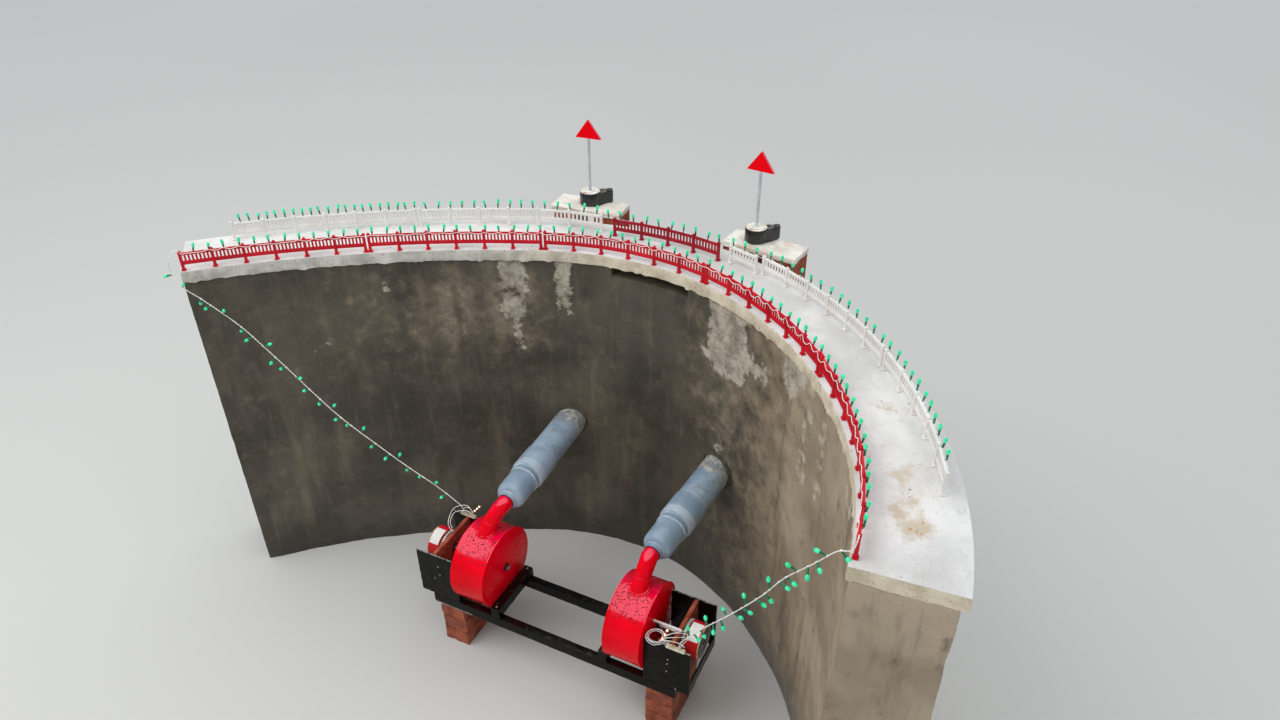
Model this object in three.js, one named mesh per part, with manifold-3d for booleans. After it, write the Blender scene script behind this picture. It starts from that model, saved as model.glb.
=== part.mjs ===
// A hand-built micro hydro plant: a plastered arch dam with a fenced roadway
// on its crest, two intake towers in the pool behind it, two penstocks, and
// two turbines with generators on a steel frame that stands on bricks.
// Millimetres, +Z up, +Y upstream. z = 0 is the stream bed and x = 0 is the
// middle of the turbine frame. y = 0 is the frame's front while it is built,
// and the whole plant is then moved so that its origin is on the dam's foot.

import * as THREE from 'three';
import { mergeVertices } from 'three/addons/utils/BufferGeometryUtils.js';
import Module from 'manifold-3d';

const wasm = await Module();
wasm.setup();

// Driving dimensions
const GAP = 0.3;                    // clearance between pieces that touch
const BRICK = { width: 100, height: 60, length: 210 };
const FRAME_Z = 3 * BRICK.height;   // underside of the steel frame
const DAM_FOOT_Y = 800;             // from the frame's front to the origin on the dam's foot

// The crest line in plan: a start point, a heading, and three tangent arcs
const CREST_START = { x: -1277, y: 9, heading: 45.2 };
const CREST_ARCS = [
  { radius: 2830, length: 1150 },
  { radius: 790, length: 700 },
  { radius: 1140, length: 1120 },
];
const CREST_LENGTH = CREST_ARCS.reduce((sum, arc) => sum + arc.length, 0);
const FACET = 75;                   // longest straight facet along the crest

// Dam section, measured upstream from the crest line
const DECK = { top: FRAME_Z + 1080, thick: 40, width: 240 };
const WALL = { face: 8, back: 226 };
const WALL_JOINTS = [0, 500, 1000, 1330, 1690, 2080, 2520, CREST_LENGTH];
const DECK_JOINTS = [0, 940, 1330, 2110, CREST_LENGTH];
const SPILLWAY = { from: 1370, to: 1655, sill: FRAME_Z + 1008 };

// Toy-scale fences on the deck
const BAY = 95;
const POST = { size: 9, height: 62, cap: 6, foot: 14, footHeight: 4 };
const RAIL = { depth: 5, low: [19, 31], high: [51, 60] };
const DOWNSTREAM_FENCE = { offset: 12, start: 12, bays: [6, 6, 6, 6, 7] };
const UPSTREAM_FENCES = [
  { name: 'fence_white_1', start: 148, bays: 6, bay: 93 },
  { name: 'fence_white_2', start: 721, bays: 6, bay: 95 },
  { name: 'fence_dark_red', start: 1335, bays: 4, bay: 80.5 },
  { name: 'fence_white_3', start: 1690, bays: 1, bay: 85 },
  { name: 'fence_white_4', start: 1790, bays: 6, bay: 82.5 },
  { name: 'fence_white_5', start: 2300, bays: 5, bay: 84.4 },
];

// How far upstream of the crest line that fence stands, at stations along the
// crest: it steps in where the intake towers stand close behind it
const UPSTREAM_LINE = [
  [0, 200], [1130, 200], [1214, 189], [1291, 173], [1335, 157], [1657, 157],
  [1690, 170], [1775, 170], [1790, 187], [CREST_LENGTH, 187],
];

// Light strings: a wire along the fence tops with bulbs standing on it, closest
// together on the first white panel, and two free spans with hanging bulbs
const WIRE = { size: 2.6 };
const BULB = { width: 8, height: 36, pitch: 62 };
const STRING_DOWNSTREAM = { ends: [6, 2950], pitches: [45], bulbHeight: 17 };
const STRING_UPSTREAM = { ends: [150, 706, 2720], pitches: [26, 38], bulbHeight: 26 };
const STRING_Z = DECK.top + POST.height + POST.cap + GAP + WIRE.size / 2;
const SPAN = { diameter: 3.6, sides: 8, steps: 36 };

// Turbines: drums whose axle is level and runs along X
const AXLE = { y: 107, z: FRAME_Z + 170 };
const DRUM = { radius: 138, inner: 217, outer: 343, skin: 4 };
const SHAFT = { radius: 8, from: 203, to: 482, sides: 16, play: 0.4 };
const RUNNER = { radius: 114, hub: 24, width: 88, paddles: 12, thick: 4 };
const BEARING = { radius: 14, length: 9 };
const DISCHARGE = { length: 96, width: 130, top: FRAME_Z + 78 };

// Penstocks: each one's axis runs from its inlet joint through the middle of
// its mouth on the wall's face
const PENSTOCKS = {
  left: { joint: [-245, 183, 568], mouth: [-271, 669, 567], length: 735 },
  right: { joint: [287, 183, 567], mouth: [326, 622, 585], length: 700 },
};
const PIPE = { radius: 55, bore: 50 };
const PIPE_OUTSIDE = [              // radius, distance from the inlet joint
  [30, 0], [30, 16], [41, 20], [47, 27], [50, 38], [50, 112], [52, 114], [52, 118],
  [51, 119], [51, 140], [57, 142], [58.5, 150], [58.5, 242], [PIPE.radius, 245],
];
const PIPE_BORE = [[PIPE.bore, 190], [45, 190], [45, 44], [25, 22], [25, 0]];
const PIPE_SIDES = 24;
const INLET = { radius: 27, bore: 23 };

// Steel frame
const LONG_RAIL = { half: 452, depth: 25, height: 40, backFace: 215 };
const CROSS_BEAM = { from: 184, top: FRAME_Z + 80 };
const SIDE_PLATE = { outer: 498, thick: 6, top: FRAME_Z + 227 };
const END_FLANGE = { height: 45, thick: 6 };
const BRACKET = { from: 424, thick: 14, low: FRAME_Z + 84, top: SIDE_PLATE.top - 2, hole: 15 };
const GENERATOR = { from: 438 + GAP, length: 57, radius: 57, ring: 54, ringLength: 5 };
const TERMINAL = { depth: 12, height: 11, left: [-460, 203], right: [420, -5], length: 60 };
const STACK_X = { left: -436, right: 345 };

// Intake towers in the pool. The gate motor's cup and its tail stand off the
// middle of the slab
const TOWER_TOP = FRAME_Z + 1106;
const SLAB = { length: 266, depth: 112, thick: 22 };
const PIER = { width: 100, inset: 4 };
const MOTOR = { radius: 37, height: 46, tail: 70, tailRadius: 13, tailHeight: 40 };
const SIGN = { rod: 5, rodHeight: 198, width: 95, height: 65, thick: 10, overlap: 6 };
const TOWERS = [
  { name: 'left', x: -342.5, y: 990.5, turn: 5, motor: [-4, 8], tailTurn: 35 },
  { name: 'right', x: 324.4, y: 958, turn: -7.3, motor: [-39, 6], tailTurn: 46 },
];

// Finishes
const finish = (color, roughness, metalness = 0) =>
  new THREE.MeshStandardMaterial({ color, roughness, metalness });
const MATERIALS = {
  render: finish(0x5a5247, 0.9),
  cement: finish(0xb9b6ae, 0.85),
  brick: finish(0x9a5238, 0.9),
  redPlastic: finish(0xb01f2a, 0.5),
  darkRedPlastic: finish(0x8f1a24, 0.5),
  whitePlastic: finish(0xdedcd2, 0.5),
  green: finish(0x18a878, 0.35),
  redPaint: finish(0xd3101f, 0.25, 0.2),
  blackPaint: finish(0x101012, 0.35, 0.3),
  pvc: finish(0x7f8d99, 0.45),
  steel: finish(0xb5b5b0, 0.35, 0.9),
  rust: finish(0x8a3a24, 0.7, 0.2),
  cream: finish(0xd9d2b8, 0.6),
};

// Solids
const plant = new THREE.Group();

function addPiece(name, material, geometry) {
  const mesh = new THREE.Mesh(geometry, MATERIALS[material]);
  mesh.name = name;
  plant.add(mesh);
}

function solidOf(geometry) {
  const bare = geometry.clone();
  bare.deleteAttribute('normal');
  bare.deleteAttribute('uv');
  const merged = mergeVertices(bare, 1e-3);
  const corners = [];
  for (let i = 0; i < merged.index.count; i += 3) {
    const [a, b, c] = [0, 1, 2].map((k) => merged.index.getX(i + k));
    if (a !== b && b !== c && c !== a) corners.push(a, b, c);
  }
  return new wasm.Manifold(new wasm.Mesh({
    numProp: 3,
    vertProperties: new Float32Array(merged.attributes.position.array),
    triVerts: new Uint32Array(corners),
  }));
}

function geometryOf(solid) {
  const { vertProperties, triVerts } = solid.getMesh();
  const geometry = new THREE.BufferGeometry();
  geometry.setAttribute('position', new THREE.BufferAttribute(new Float32Array(vertProperties), 3));
  geometry.setIndex(new THREE.BufferAttribute(new Uint32Array(triVerts), 1));
  geometry.computeVertexNormals();
  return geometry;
}

const joined = (geometries) => geometries.map(solidOf).reduce((sum, next) => sum.add(next));
const cutBy = (solid, geometries) =>
  geometries.map(solidOf).reduce((rest, tool) => rest.subtract(tool), solid);

// A box from its lowest to its highest corner; the corners may come in any order
function block(a, b) {
  const size = a.map((low, i) => Math.abs(b[i] - low));
  const middle = a.map((low, i) => (low + b[i]) / 2);
  return new THREE.BoxGeometry(...size).translate(...middle);
}

// Turns and moves a piece to its tower
function onTower({ x, y, turn }, geometry) {
  return geometry.rotateZ(THREE.MathUtils.degToRad(turn)).translate(x, y, 0);
}

// A round bar or cone between two points
function bar(from, to, radius, sides = 16, endRadius = radius) {
  const start = new THREE.Vector3(...from);
  const run = new THREE.Vector3(...to).sub(start);
  const turn = new THREE.Quaternion().setFromUnitVectors(
    new THREE.Vector3(0, 1, 0), run.clone().normalize());
  return new THREE.CylinderGeometry(endRadius, radius, run.length(), sides)
    .applyQuaternion(turn)
    .translate(...start.addScaledVector(run, 0.5));
}

// A level prism from a plan outline
function prism(outline, low, high) {
  const shape = new THREE.Shape(outline.map(([x, y]) => new THREE.Vector2(x, y)));
  return new THREE.ExtrudeGeometry(shape, { depth: high - low, bevelEnabled: false })
    .translate(0, 0, low);
}

// A round tube along a curve
function tube(curve, radius, sides, steps) {
  const ring = Array.from({ length: sides }, (_, i) => {
    const angle = (2 * Math.PI * i) / sides;
    return new THREE.Vector2(radius * Math.cos(angle), radius * Math.sin(angle));
  });
  return new THREE.ExtrudeGeometry(new THREE.Shape(ring),
    { steps, bevelEnabled: false, extrudePath: curve });
}

// Where the crest line is after a length s, and which way it heads
function crestAt(s) {
  let { x, y } = CREST_START;
  let heading = THREE.MathUtils.degToRad(CREST_START.heading);
  let left = s;
  CREST_ARCS.forEach(({ radius, length }, i) => {
    const last = i === CREST_ARCS.length - 1;
    const run = last ? left : Math.min(left, length);
    const next = heading - run / radius;
    x += radius * (Math.sin(heading) - Math.sin(next));
    y += radius * (Math.cos(next) - Math.cos(heading));
    heading = next;
    left -= run;
  });
  return { x, y, heading };
}

// A point a distance upstream of the crest line
function crestPoint(s, offset) {
  const { x, y, heading } = crestAt(s);
  return [x - offset * Math.sin(heading), y + offset * Math.cos(heading)];
}

// A strip along stations on the crest, half a depth to either side of its offset there
function strip(stations, offsetAt, depth, low, high) {
  const front = stations.map((s) => crestPoint(s, offsetAt(s) - depth / 2));
  const back = stations.map((s) => crestPoint(s, offsetAt(s) + depth / 2)).reverse();
  return prism([...front, ...back], low, high);
}

// A band that follows the crest between two lengths and two offsets
function crestBand(from, to, near, far, low, high) {
  const steps = Math.ceil((to - from) / FACET);
  const stations = Array.from({ length: steps + 1 }, (_, i) => from + ((to - from) * i) / steps);
  return strip(stations, () => (near + far) / 2, far - near, low, high);
}

// Dam wall
function penstockAxis(side) {
  const { joint, mouth, length } = side < 0 ? PENSTOCKS.left : PENSTOCKS.right;
  const start = new THREE.Vector3(...joint);
  const along = new THREE.Vector3(...mouth).sub(start).normalize();
  return { start, along, length };
}

function wallBore(side) {
  const { start, along, length } = penstockAxis(side);
  const from = start.clone().addScaledVector(along, 300);
  const to = start.clone().addScaledVector(along, length + 100);
  return bar(from.toArray(), to.toArray(), PIPE.radius + 3 * GAP, PIPE_SIDES);
}

const wallTop = DECK.top - DECK.thick;
const wallCuts = [
  crestBand(SPILLWAY.from, SPILLWAY.to, WALL.face - 60, WALL.back + 60, SPILLWAY.sill, wallTop + 20),
  wallBore(-1),
  wallBore(1),
];
WALL_JOINTS.slice(0, -1).forEach((from, i) => {
  const to = WALL_JOINTS[i + 1];
  const body = crestBand(from + GAP / 2, to - GAP / 2, WALL.face, WALL.back, 0, wallTop);
  addPiece(`dam_wall_${i + 1}`, 'render', geometryOf(cutBy(solidOf(body), wallCuts)));
});

DECK_JOINTS.slice(0, -1).forEach((from, i) => {
  const to = DECK_JOINTS[i + 1];
  const low = DECK.top - DECK.thick;
  addPiece(`crest_deck_${i + 1}`, 'cement',
    crestBand(from + GAP / 2, to - GAP / 2, 0, DECK.width, low, DECK.top));
});

// Fences: square posts with pointed caps and flat feet, and two rails
function fencePost(s, offset) {
  const { heading } = crestAt(s);
  const [x, y] = crestPoint(s, offset);
  const { size, foot, footHeight, height, cap } = POST;
  const profile = [[0, 0], [foot, 0], [foot, footHeight], [size, footHeight], [size, height],
    [0, height + cap]].map(([width, z]) => new THREE.Vector2(width * Math.SQRT1_2, z));
  return new THREE.LatheGeometry(profile, 4)
    .rotateY(Math.PI / 4)
    .rotateX(Math.PI / 2)
    .rotateZ(heading)
    .translate(x, y, DECK.top);
}

function fencePanel({ start, bays, bay }, offsetAt) {
  const stations = Array.from({ length: bays + 1 }, (_, i) => start + i * bay);
  const posts = stations.map((s) => fencePost(s, offsetAt(s)));
  const rails = [RAIL.low, RAIL.high].map(([low, high]) =>
    strip(stations, offsetAt, RAIL.depth, DECK.top + low, DECK.top + high));
  return joined([...posts, ...rails]);
}

const downstreamOffset = () => DOWNSTREAM_FENCE.offset;

function upstreamOffset(s) {
  const next = UPSTREAM_LINE.findIndex(([station]) => station > s);
  const [[from, near], [to, far]] = UPSTREAM_LINE.slice(next - 1, next + 1);
  return THREE.MathUtils.mapLinear(s, from, to, near, far);
}

const POST_CLEAR = POST.foot + 1;   // from one panel's last post to the next one's first
let panelStart = DOWNSTREAM_FENCE.start;
DOWNSTREAM_FENCE.bays.forEach((bays, i) => {
  const panel = { start: panelStart, bays, bay: (bays * BAY - POST_CLEAR) / bays };
  addPiece(`fence_red_${i + 1}`, 'redPlastic', geometryOf(fencePanel(panel, downstreamOffset)));
  panelStart += bays * BAY;
});
UPSTREAM_FENCES.forEach((panel) => {
  const material = panel.name === 'fence_dark_red' ? 'darkRedPlastic' : 'whitePlastic';
  addPiece(panel.name, material, geometryOf(fencePanel(panel, upstreamOffset)));
});

// Light strings on the fence tops
function bulb(foot, way, height) {
  const tip = foot.map((value, i) => value + height * way[i]);
  return bar(foot, tip, BULB.width / 2, 4, 0);
}

// Even spacing near a pitch between each two neighbouring ends
function bulbStations({ ends, pitches }) {
  return ends.slice(0, -1).flatMap((from, i) => {
    const run = ends[i + 1] - from;
    const count = Math.round(run / pitches[i]);
    const first = i === 0 ? 0 : 1;
    return Array.from({ length: count + 1 - first }, (_, k) => from + (run * (k + first)) / count);
  });
}

function fenceString(string, offsetAt) {
  const low = STRING_Z - WIRE.size / 2;
  const stations = bulbStations(string);
  const wire = strip(stations, offsetAt, WIRE.size, low, low + WIRE.size);
  const bulbs = stations.slice(1, -1).map((s) =>
    bulb([...crestPoint(s, offsetAt(s)), STRING_Z], [0, 0, 1], string.bulbHeight));
  return joined([wire, ...bulbs]);
}

addPiece('light_string_downstream', 'green',
  geometryOf(fenceString(STRING_DOWNSTREAM, downstreamOffset)));
addPiece('light_string_upstream', 'green', geometryOf(fenceString(STRING_UPSTREAM, upstreamOffset)));

// Turbines
function casing(side) {
  const { inner, outer, radius, skin } = DRUM;
  const along = (x) => [side * x, AXLE.y, AXLE.z];
  const shell = cutBy(solidOf(bar(along(inner), along(outer), radius, 36)), [
    bar(along(inner + skin), along(outer - skin), radius - skin, 36),
  ]);
  const bosses = solidOf(bar(along(inner - BEARING.length), along(inner + 1), BEARING.radius, 20))
    .add(solidOf(bar(along(outer - 1), along(outer + BEARING.length), BEARING.radius, 20)));
  const middle = (inner + outer) / 2;
  const half = DISCHARGE.length / 2;
  return cutBy(shell.add(bosses), [
    bar(along(inner - 40), along(outer + 40), SHAFT.radius + SHAFT.play + 0.2, SHAFT.sides),
    block([side * (middle - half), AXLE.y - DISCHARGE.width / 2, AXLE.z - radius - 5],
      [side * (middle + half), AXLE.y + DISCHARGE.width / 2, DISCHARGE.top]),
    inletRun(side, INLET.radius + 2 * GAP, 8),
  ]);
}

// The inlet elbow: it goes on straight from the penstock, then bends into the drum's top.
// over lengthens both ends, for the bore
function inletRun(side, radius, over) {
  const { start, along } = penstockAxis(side);
  const onAxis = (distance) => start.clone().addScaledVector(along, distance);
  const middle = side * (DRUM.inner + DRUM.outer) / 2;
  const top = AXLE.z + DRUM.radius;
  const between = (share, y, z) =>
    new THREE.Vector3(THREE.MathUtils.lerp(start.x, middle, share), y, z);
  const curve = new THREE.CatmullRomCurve3([
    onAxis(over - GAP),
    onAxis(-16),
    between(0.35, AXLE.y + 38, top + 59),
    between(0.75, AXLE.y + 19, top + 29),
    between(1, AXLE.y, top),
    between(1, AXLE.y - 3 - 0.2 * over, top - 14 - over),
  ]);
  return tube(curve, radius, 14, 10);
}

function runner(side) {
  const middle = (DRUM.inner + DRUM.outer) / 2;
  const half = RUNNER.width / 2;
  const along = (x) => [side * x, AXLE.y, AXLE.z];
  const hub = bar(along(middle - half), along(middle + half), RUNNER.hub, 20);
  const shaft = bar(along(SHAFT.from), along(SHAFT.to), SHAFT.radius, SHAFT.sides);
  const paddles = Array.from({ length: RUNNER.paddles }, (_, i) =>
    block([-half, -RUNNER.thick / 2, RUNNER.hub - 4], [half, RUNNER.thick / 2, RUNNER.radius])
      .rotateX((2 * Math.PI * i) / RUNNER.paddles)
      .translate(...along(middle)));
  return joined([hub, shaft, ...paddles]);
}

function generator(side) {
  const along = (x) => [side * x, AXLE.y, AXLE.z];
  const { from, length, radius, ring, ringLength } = GENERATOR;
  const body = joined([
    bar(along(from), along(from + length), radius, 36),
    bar(along(from + length - 1), along(from + length + ringLength), ring, 36),
  ]);
  return cutBy(body, [bar(along(from - 5), along(SHAFT.to + 2), SHAFT.radius + SHAFT.play + 0.2, SHAFT.sides)]);
}

// The board between the plates that the generator is bolted to
function bracket(side) {
  const { from, thick, low, top, hole } = BRACKET;
  const inset = SIDE_PLATE.thick + GAP;
  const board = block([side * from, inset, low],
    [side * (from + thick), LONG_RAIL.backFace - inset, top]);
  const along = (x) => [side * x, AXLE.y, AXLE.z];
  return cutBy(solidOf(board), [bar(along(from - 5), along(from + thick + 5), hole, 20)]);
}

function penstock(side) {
  const { start, along, length } = penstockAxis(side);
  const profile = [...PIPE_OUTSIDE, [PIPE.radius, length], [PIPE.bore, length], ...PIPE_BORE, PIPE_OUTSIDE[0]]
    .map(([radius, distance]) => new THREE.Vector2(radius, distance));
  const turn = new THREE.Quaternion().setFromUnitVectors(new THREE.Vector3(0, 1, 0), along);
  return new THREE.LatheGeometry(profile, PIPE_SIDES).applyQuaternion(turn).translate(...start);
}

// The back plate turns inward at its outer end and closes the frame there
function backPlate(side) {
  const { outer, thick, top } = SIDE_PLATE;
  const low = FRAME_Z + LONG_RAIL.height;
  return joined([
    block([side * (DRUM.outer + GAP), LONG_RAIL.backFace - thick, low],
      [side * outer, LONG_RAIL.backFace, top]),
    block([side * (outer - END_FLANGE.thick), thick + GAP, low],
      [side * outer, LONG_RAIL.backFace - 1, low + END_FLANGE.height]),
  ]);
}

for (const [side, name] of [[-1, 'left'], [1, 'right']]) {
  addPiece(`penstock_${name}`, 'pvc', penstock(side));
  addPiece(`turbine_casing_${name}`, 'redPaint', geometryOf(casing(side)));
  addPiece(`turbine_inlet_${name}`, 'redPaint', geometryOf(
    cutBy(solidOf(inletRun(side, INLET.radius, 0)), [inletRun(side, INLET.bore, 20)])));
  addPiece(`turbine_runner_${name}`, 'steel', geometryOf(runner(side)));
  addPiece(`generator_${name}`, 'redPaint', geometryOf(generator(side)));
  addPiece(`generator_bracket_${name}`, 'rust', geometryOf(bracket(side)));

  const railTop = FRAME_Z + LONG_RAIL.height;
  addPiece(`cross_beam_${name}`, 'blackPaint', block(
    [side * CROSS_BEAM.from, 0, railTop],
    [side * (DRUM.inner - GAP), LONG_RAIL.backFace, CROSS_BEAM.top]));
  addPiece(`side_plate_front_${name}`, 'blackPaint', block(
    [side * (DRUM.outer + GAP), 0, railTop],
    [side * SIDE_PLATE.outer, SIDE_PLATE.thick, SIDE_PLATE.top]));
  addPiece(`side_plate_back_${name}`, 'blackPaint', geometryOf(backPlate(side)));
  const [stripX, stripY] = TERMINAL[name];
  const stripLow = SIDE_PLATE.top + GAP;
  addPiece(`terminal_strip_${name}`, 'cream', block(
    [stripX, stripY, stripLow],
    [stripX + TERMINAL.length, stripY + TERMINAL.depth, stripLow + TERMINAL.height]));
  const stackX = STACK_X[name];
  addPiece(`brick_stack_${name}`, 'brick', block(
    [stackX, 2, 0], [stackX + BRICK.width, 2 + BRICK.length, FRAME_Z]));
}

for (const [name, y] of [['front', 0], ['back', LONG_RAIL.backFace - LONG_RAIL.depth]]) {
  addPiece(`frame_rail_${name}`, 'blackPaint', block(
    [-LONG_RAIL.half, y, FRAME_Z],
    [LONG_RAIL.half, y + LONG_RAIL.depth, FRAME_Z + LONG_RAIL.height]));
}

// Intake towers
function gateMotor({ motor: [x, y], tailTurn }) {
  const { radius, height, tail, tailRadius, tailHeight } = MOTOR;
  const taper = prism([[0, 2 - radius], [tail, -tailRadius], [tail, tailRadius], [0, radius - 2]],
    TOWER_TOP, TOWER_TOP + tailHeight);
  const body = joined([
    bar([0, 0, TOWER_TOP], [0, 0, TOWER_TOP + height], radius, 24),
    bar([tail, 0, TOWER_TOP], [tail, 0, TOWER_TOP + tailHeight], tailRadius, 12),
    taper,
  ]);
  return geometryOf(body).rotateZ(THREE.MathUtils.degToRad(tailTurn)).translate(x, y, 0);
}

// A rod on the gate motor that carries a level triangle
function levelSign({ motor: [x, y] }) {
  const { rod, rodHeight, width, height, thick, overlap } = SIGN;
  const base = TOWER_TOP + MOTOR.height;
  const triangle = new THREE.ExtrudeGeometry(
    new THREE.Shape([new THREE.Vector2(-width / 2, 0), new THREE.Vector2(width / 2, 0),
      new THREE.Vector2(0, height)]),
    { depth: thick, bevelEnabled: false })
    .rotateX(Math.PI / 2)
    .translate(x, y + thick / 2, base + rodHeight - overlap);
  return geometryOf(joined([bar([x, y, base], [x, y, base + rodHeight], rod, 10), triangle]));
}

for (const tower of TOWERS) {
  const halfLength = SLAB.length / 2;
  const halfDepth = SLAB.depth / 2;
  const underside = TOWER_TOP - SLAB.thick;
  addPiece(`tower_slab_${tower.name}`, 'cement', onTower(tower,
    block([-halfLength, -halfDepth, underside], [halfLength, halfDepth, TOWER_TOP])));
  for (const [end, label] of [[-1, 'a'], [1, 'b']]) {
    const outer = end * (halfLength - PIER.inset);
    addPiece(`tower_pier_${tower.name}_${label}`, 'brick', onTower(tower,
      block([outer - end * PIER.width, -halfDepth + PIER.inset, 0],
        [outer, halfDepth - PIER.inset, underside])));
  }
  addPiece(`gate_motor_${tower.name}`, 'blackPaint', onTower(tower, gateMotor(tower)));
  addPiece(`level_sign_${tower.name}`, 'redPaint', onTower(tower, levelSign(tower)));
}

// Free spans of the light string: from the ends of the downstream fence's
// string they hang down to the terminal strips on the frame
const SPAN_END_Z = SIDE_PLATE.top + TERMINAL.height + 2 * GAP;
const SPAN_LEFT = [
  [...crestPoint(STRING_DOWNSTREAM.ends[0] - GAP, DOWNSTREAM_FENCE.offset), STRING_Z],
  [...crestPoint(STRING_DOWNSTREAM.ends[0] - 9, DOWNSTREAM_FENCE.offset), STRING_Z],
  [-1296, -5, 1302], [-1296, -6, 1262], [-1268, -2, 1214], [-1222, 20, 1168], [-1128, 56, 1076],
  [-1061, 75, 998], [-985, 91, 914], [-919, 106, 836], [-840, 123, 753],
  [-730, 147, 662], [-630, 169, 584], [-540, 189, 520], [-476, 202, 466],
  [-453, 208, 440], [-452, 209, SPAN_END_Z],
];
const SPAN_RIGHT = [
  [...crestPoint(STRING_DOWNSTREAM.ends[1] + GAP, DOWNSTREAM_FENCE.offset), STRING_Z],
  [...crestPoint(STRING_DOWNSTREAM.ends[1] + 9, DOWNSTREAM_FENCE.offset), STRING_Z],
  [940, -288, 1292], [910, -268, 1258], [861, -236, 1172], [787, -191, 1046],
  [737, -160, 940], [666, -118, 808], [602, -78, 694], [543, -43, 593],
  [502, -18, 516], [473, -3, 462], [463, 1, 440], [462, 1, SPAN_END_Z],
];

function freeSpan(points) {
  const curve = new THREE.CatmullRomCurve3(points.map((p) => new THREE.Vector3(...p)));
  const wire = tube(curve, SPAN.diameter / 2, SPAN.sides, SPAN.steps);
  const count = Math.floor(curve.getLength() / BULB.pitch);
  const bulbs = Array.from({ length: count - 3 }, (_, i) => {
    const foot = curve.getPointAt((i + 2) / count).toArray();
    const sideways = new THREE.Vector3(0, 0, 1).cross(curve.getTangentAt((i + 2) / count)).normalize();
    const way = sideways.multiplyScalar(i % 2 ? 0.5 : -0.5).add(new THREE.Vector3(0, 0, -1)).normalize();
    return bulb(foot, way.toArray(), BULB.height);
  });
  return joined([wire, ...bulbs]);
}

addPiece('light_span_left', 'whitePlastic', geometryOf(freeSpan(SPAN_LEFT)));
addPiece('light_span_right', 'whitePlastic', geometryOf(freeSpan(SPAN_RIGHT)));

plant.position.set(0, -DAM_FOOT_Y, 0);

export default plant;
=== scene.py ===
import math
import random

import bmesh
import bpy
import numpy as np
from mathutils import Matrix, Vector, noise


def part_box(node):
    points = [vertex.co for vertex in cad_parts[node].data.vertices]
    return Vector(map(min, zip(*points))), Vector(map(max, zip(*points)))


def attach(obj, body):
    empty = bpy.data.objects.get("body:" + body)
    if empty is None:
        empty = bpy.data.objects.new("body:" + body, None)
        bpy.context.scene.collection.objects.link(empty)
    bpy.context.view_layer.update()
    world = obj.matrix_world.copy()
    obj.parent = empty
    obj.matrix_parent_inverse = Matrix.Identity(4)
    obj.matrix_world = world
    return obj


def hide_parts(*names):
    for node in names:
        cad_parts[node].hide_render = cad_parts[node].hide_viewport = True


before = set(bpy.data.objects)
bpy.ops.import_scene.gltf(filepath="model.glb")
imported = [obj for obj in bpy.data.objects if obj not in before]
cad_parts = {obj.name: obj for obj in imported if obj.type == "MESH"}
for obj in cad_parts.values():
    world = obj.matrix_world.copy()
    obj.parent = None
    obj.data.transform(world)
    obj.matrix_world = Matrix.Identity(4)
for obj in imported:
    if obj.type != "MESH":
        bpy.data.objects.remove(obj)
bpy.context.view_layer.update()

# The looks of a hand-built micro hydro plant: a plastered arch dam with a fenced
# road on its crest, intake towers, penstocks, and a pair of turbine generators.
# Metres, +Z up, +Y upstream, and the origin on the dam's foot.

PLANT = "plant"
SIDES = (("left", -1), ("right", 1))
RANDOM = random.Random(4)

# Crest line in plan: three tangent arcs, each a radius and a length, that turn clockwise
CREST_START = Vector((-1.277, -0.791))
CREST_HEADING = math.radians(45.2)
CREST_ARCS = ((2.83, 1.15), (0.79, 0.7), (1.14, 1.12))
CREST_LENGTH = sum(length for _, length in CREST_ARCS)

# Dam section, measured upstream from the crest line, and the spillway's two stations
DECK_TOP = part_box("crest_deck_1")[1].z
DECK_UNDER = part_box("crest_deck_1")[0].z
DECK_WIDTH = 0.24
WALL_FACE, WALL_BACK = 0.008, 0.226
SPILLWAY = (1.37, 1.655)
SPILLWAY_SILL = 1.188

# Fences. An upstream panel has its first station, its bays and a bay's length, and its line
# gives stations and how far upstream of the crest line the fence stands there
BAY = 0.095
POST = {"size": 0.009, "height": 0.062, "cap": 0.006, "foot": 0.014, "foot_height": 0.004}
RAIL_DEPTH = 0.005
LOW_RAIL, HIGH_RAIL = (0.019, 0.031), (0.051, 0.06)
BALUSTERS = 7
RED_START, RED_OFFSET = 0.012, 0.012
RED_BAYS = (6, 6, 6, 6, 7)
POST_CLEAR = POST["foot"] + 0.001
UPSTREAM_FENCES = (
    ("fence_white_1", 0.148, 6, 0.093), ("fence_white_2", 0.721, 6, 0.095),
    ("fence_dark_red", 1.335, 4, 0.0805), ("fence_white_3", 1.69, 1, 0.085),
    ("fence_white_4", 1.79, 6, 0.0825), ("fence_white_5", 2.3, 5, 0.0844),
)
UPSTREAM_LINE = (
    (0, 0.2), (1.13, 0.2), (1.214, 0.189), (1.291, 0.173), (1.335, 0.157), (1.657, 0.157),
    (1.69, 0.17), (1.775, 0.17), (1.79, 0.187), (CREST_LENGTH, 0.187),
)

# Turbines and penstocks. A penstock runs from its joint with the inlet to its mouth in the wall
AXLE_Y, AXLE_Z = -0.693, 0.35
DRUM_RADIUS, DRUM_INNER, DRUM_OUTER = 0.138, 0.217, 0.343
DRUM_LENGTH = DRUM_OUTER - DRUM_INNER
DRUM_MIDDLE = (DRUM_INNER + DRUM_OUTER) / 2
BORE = 0.0088
JOINTS = {"left": Vector((-0.245, -0.617, 0.568)), "right": Vector((0.287, -0.617, 0.567))}
MOUTHS = {"left": Vector((-0.271, -0.131, 0.567)), "right": Vector((0.326, -0.178, 0.585))}
PIPE_LENGTHS = {"left": 0.735, "right": 0.7}
PIPE_RADIUS, PIPE_BORE = 0.055, 0.05
INLET_RADIUS, INLET_BORE = 0.027, 0.023


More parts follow.
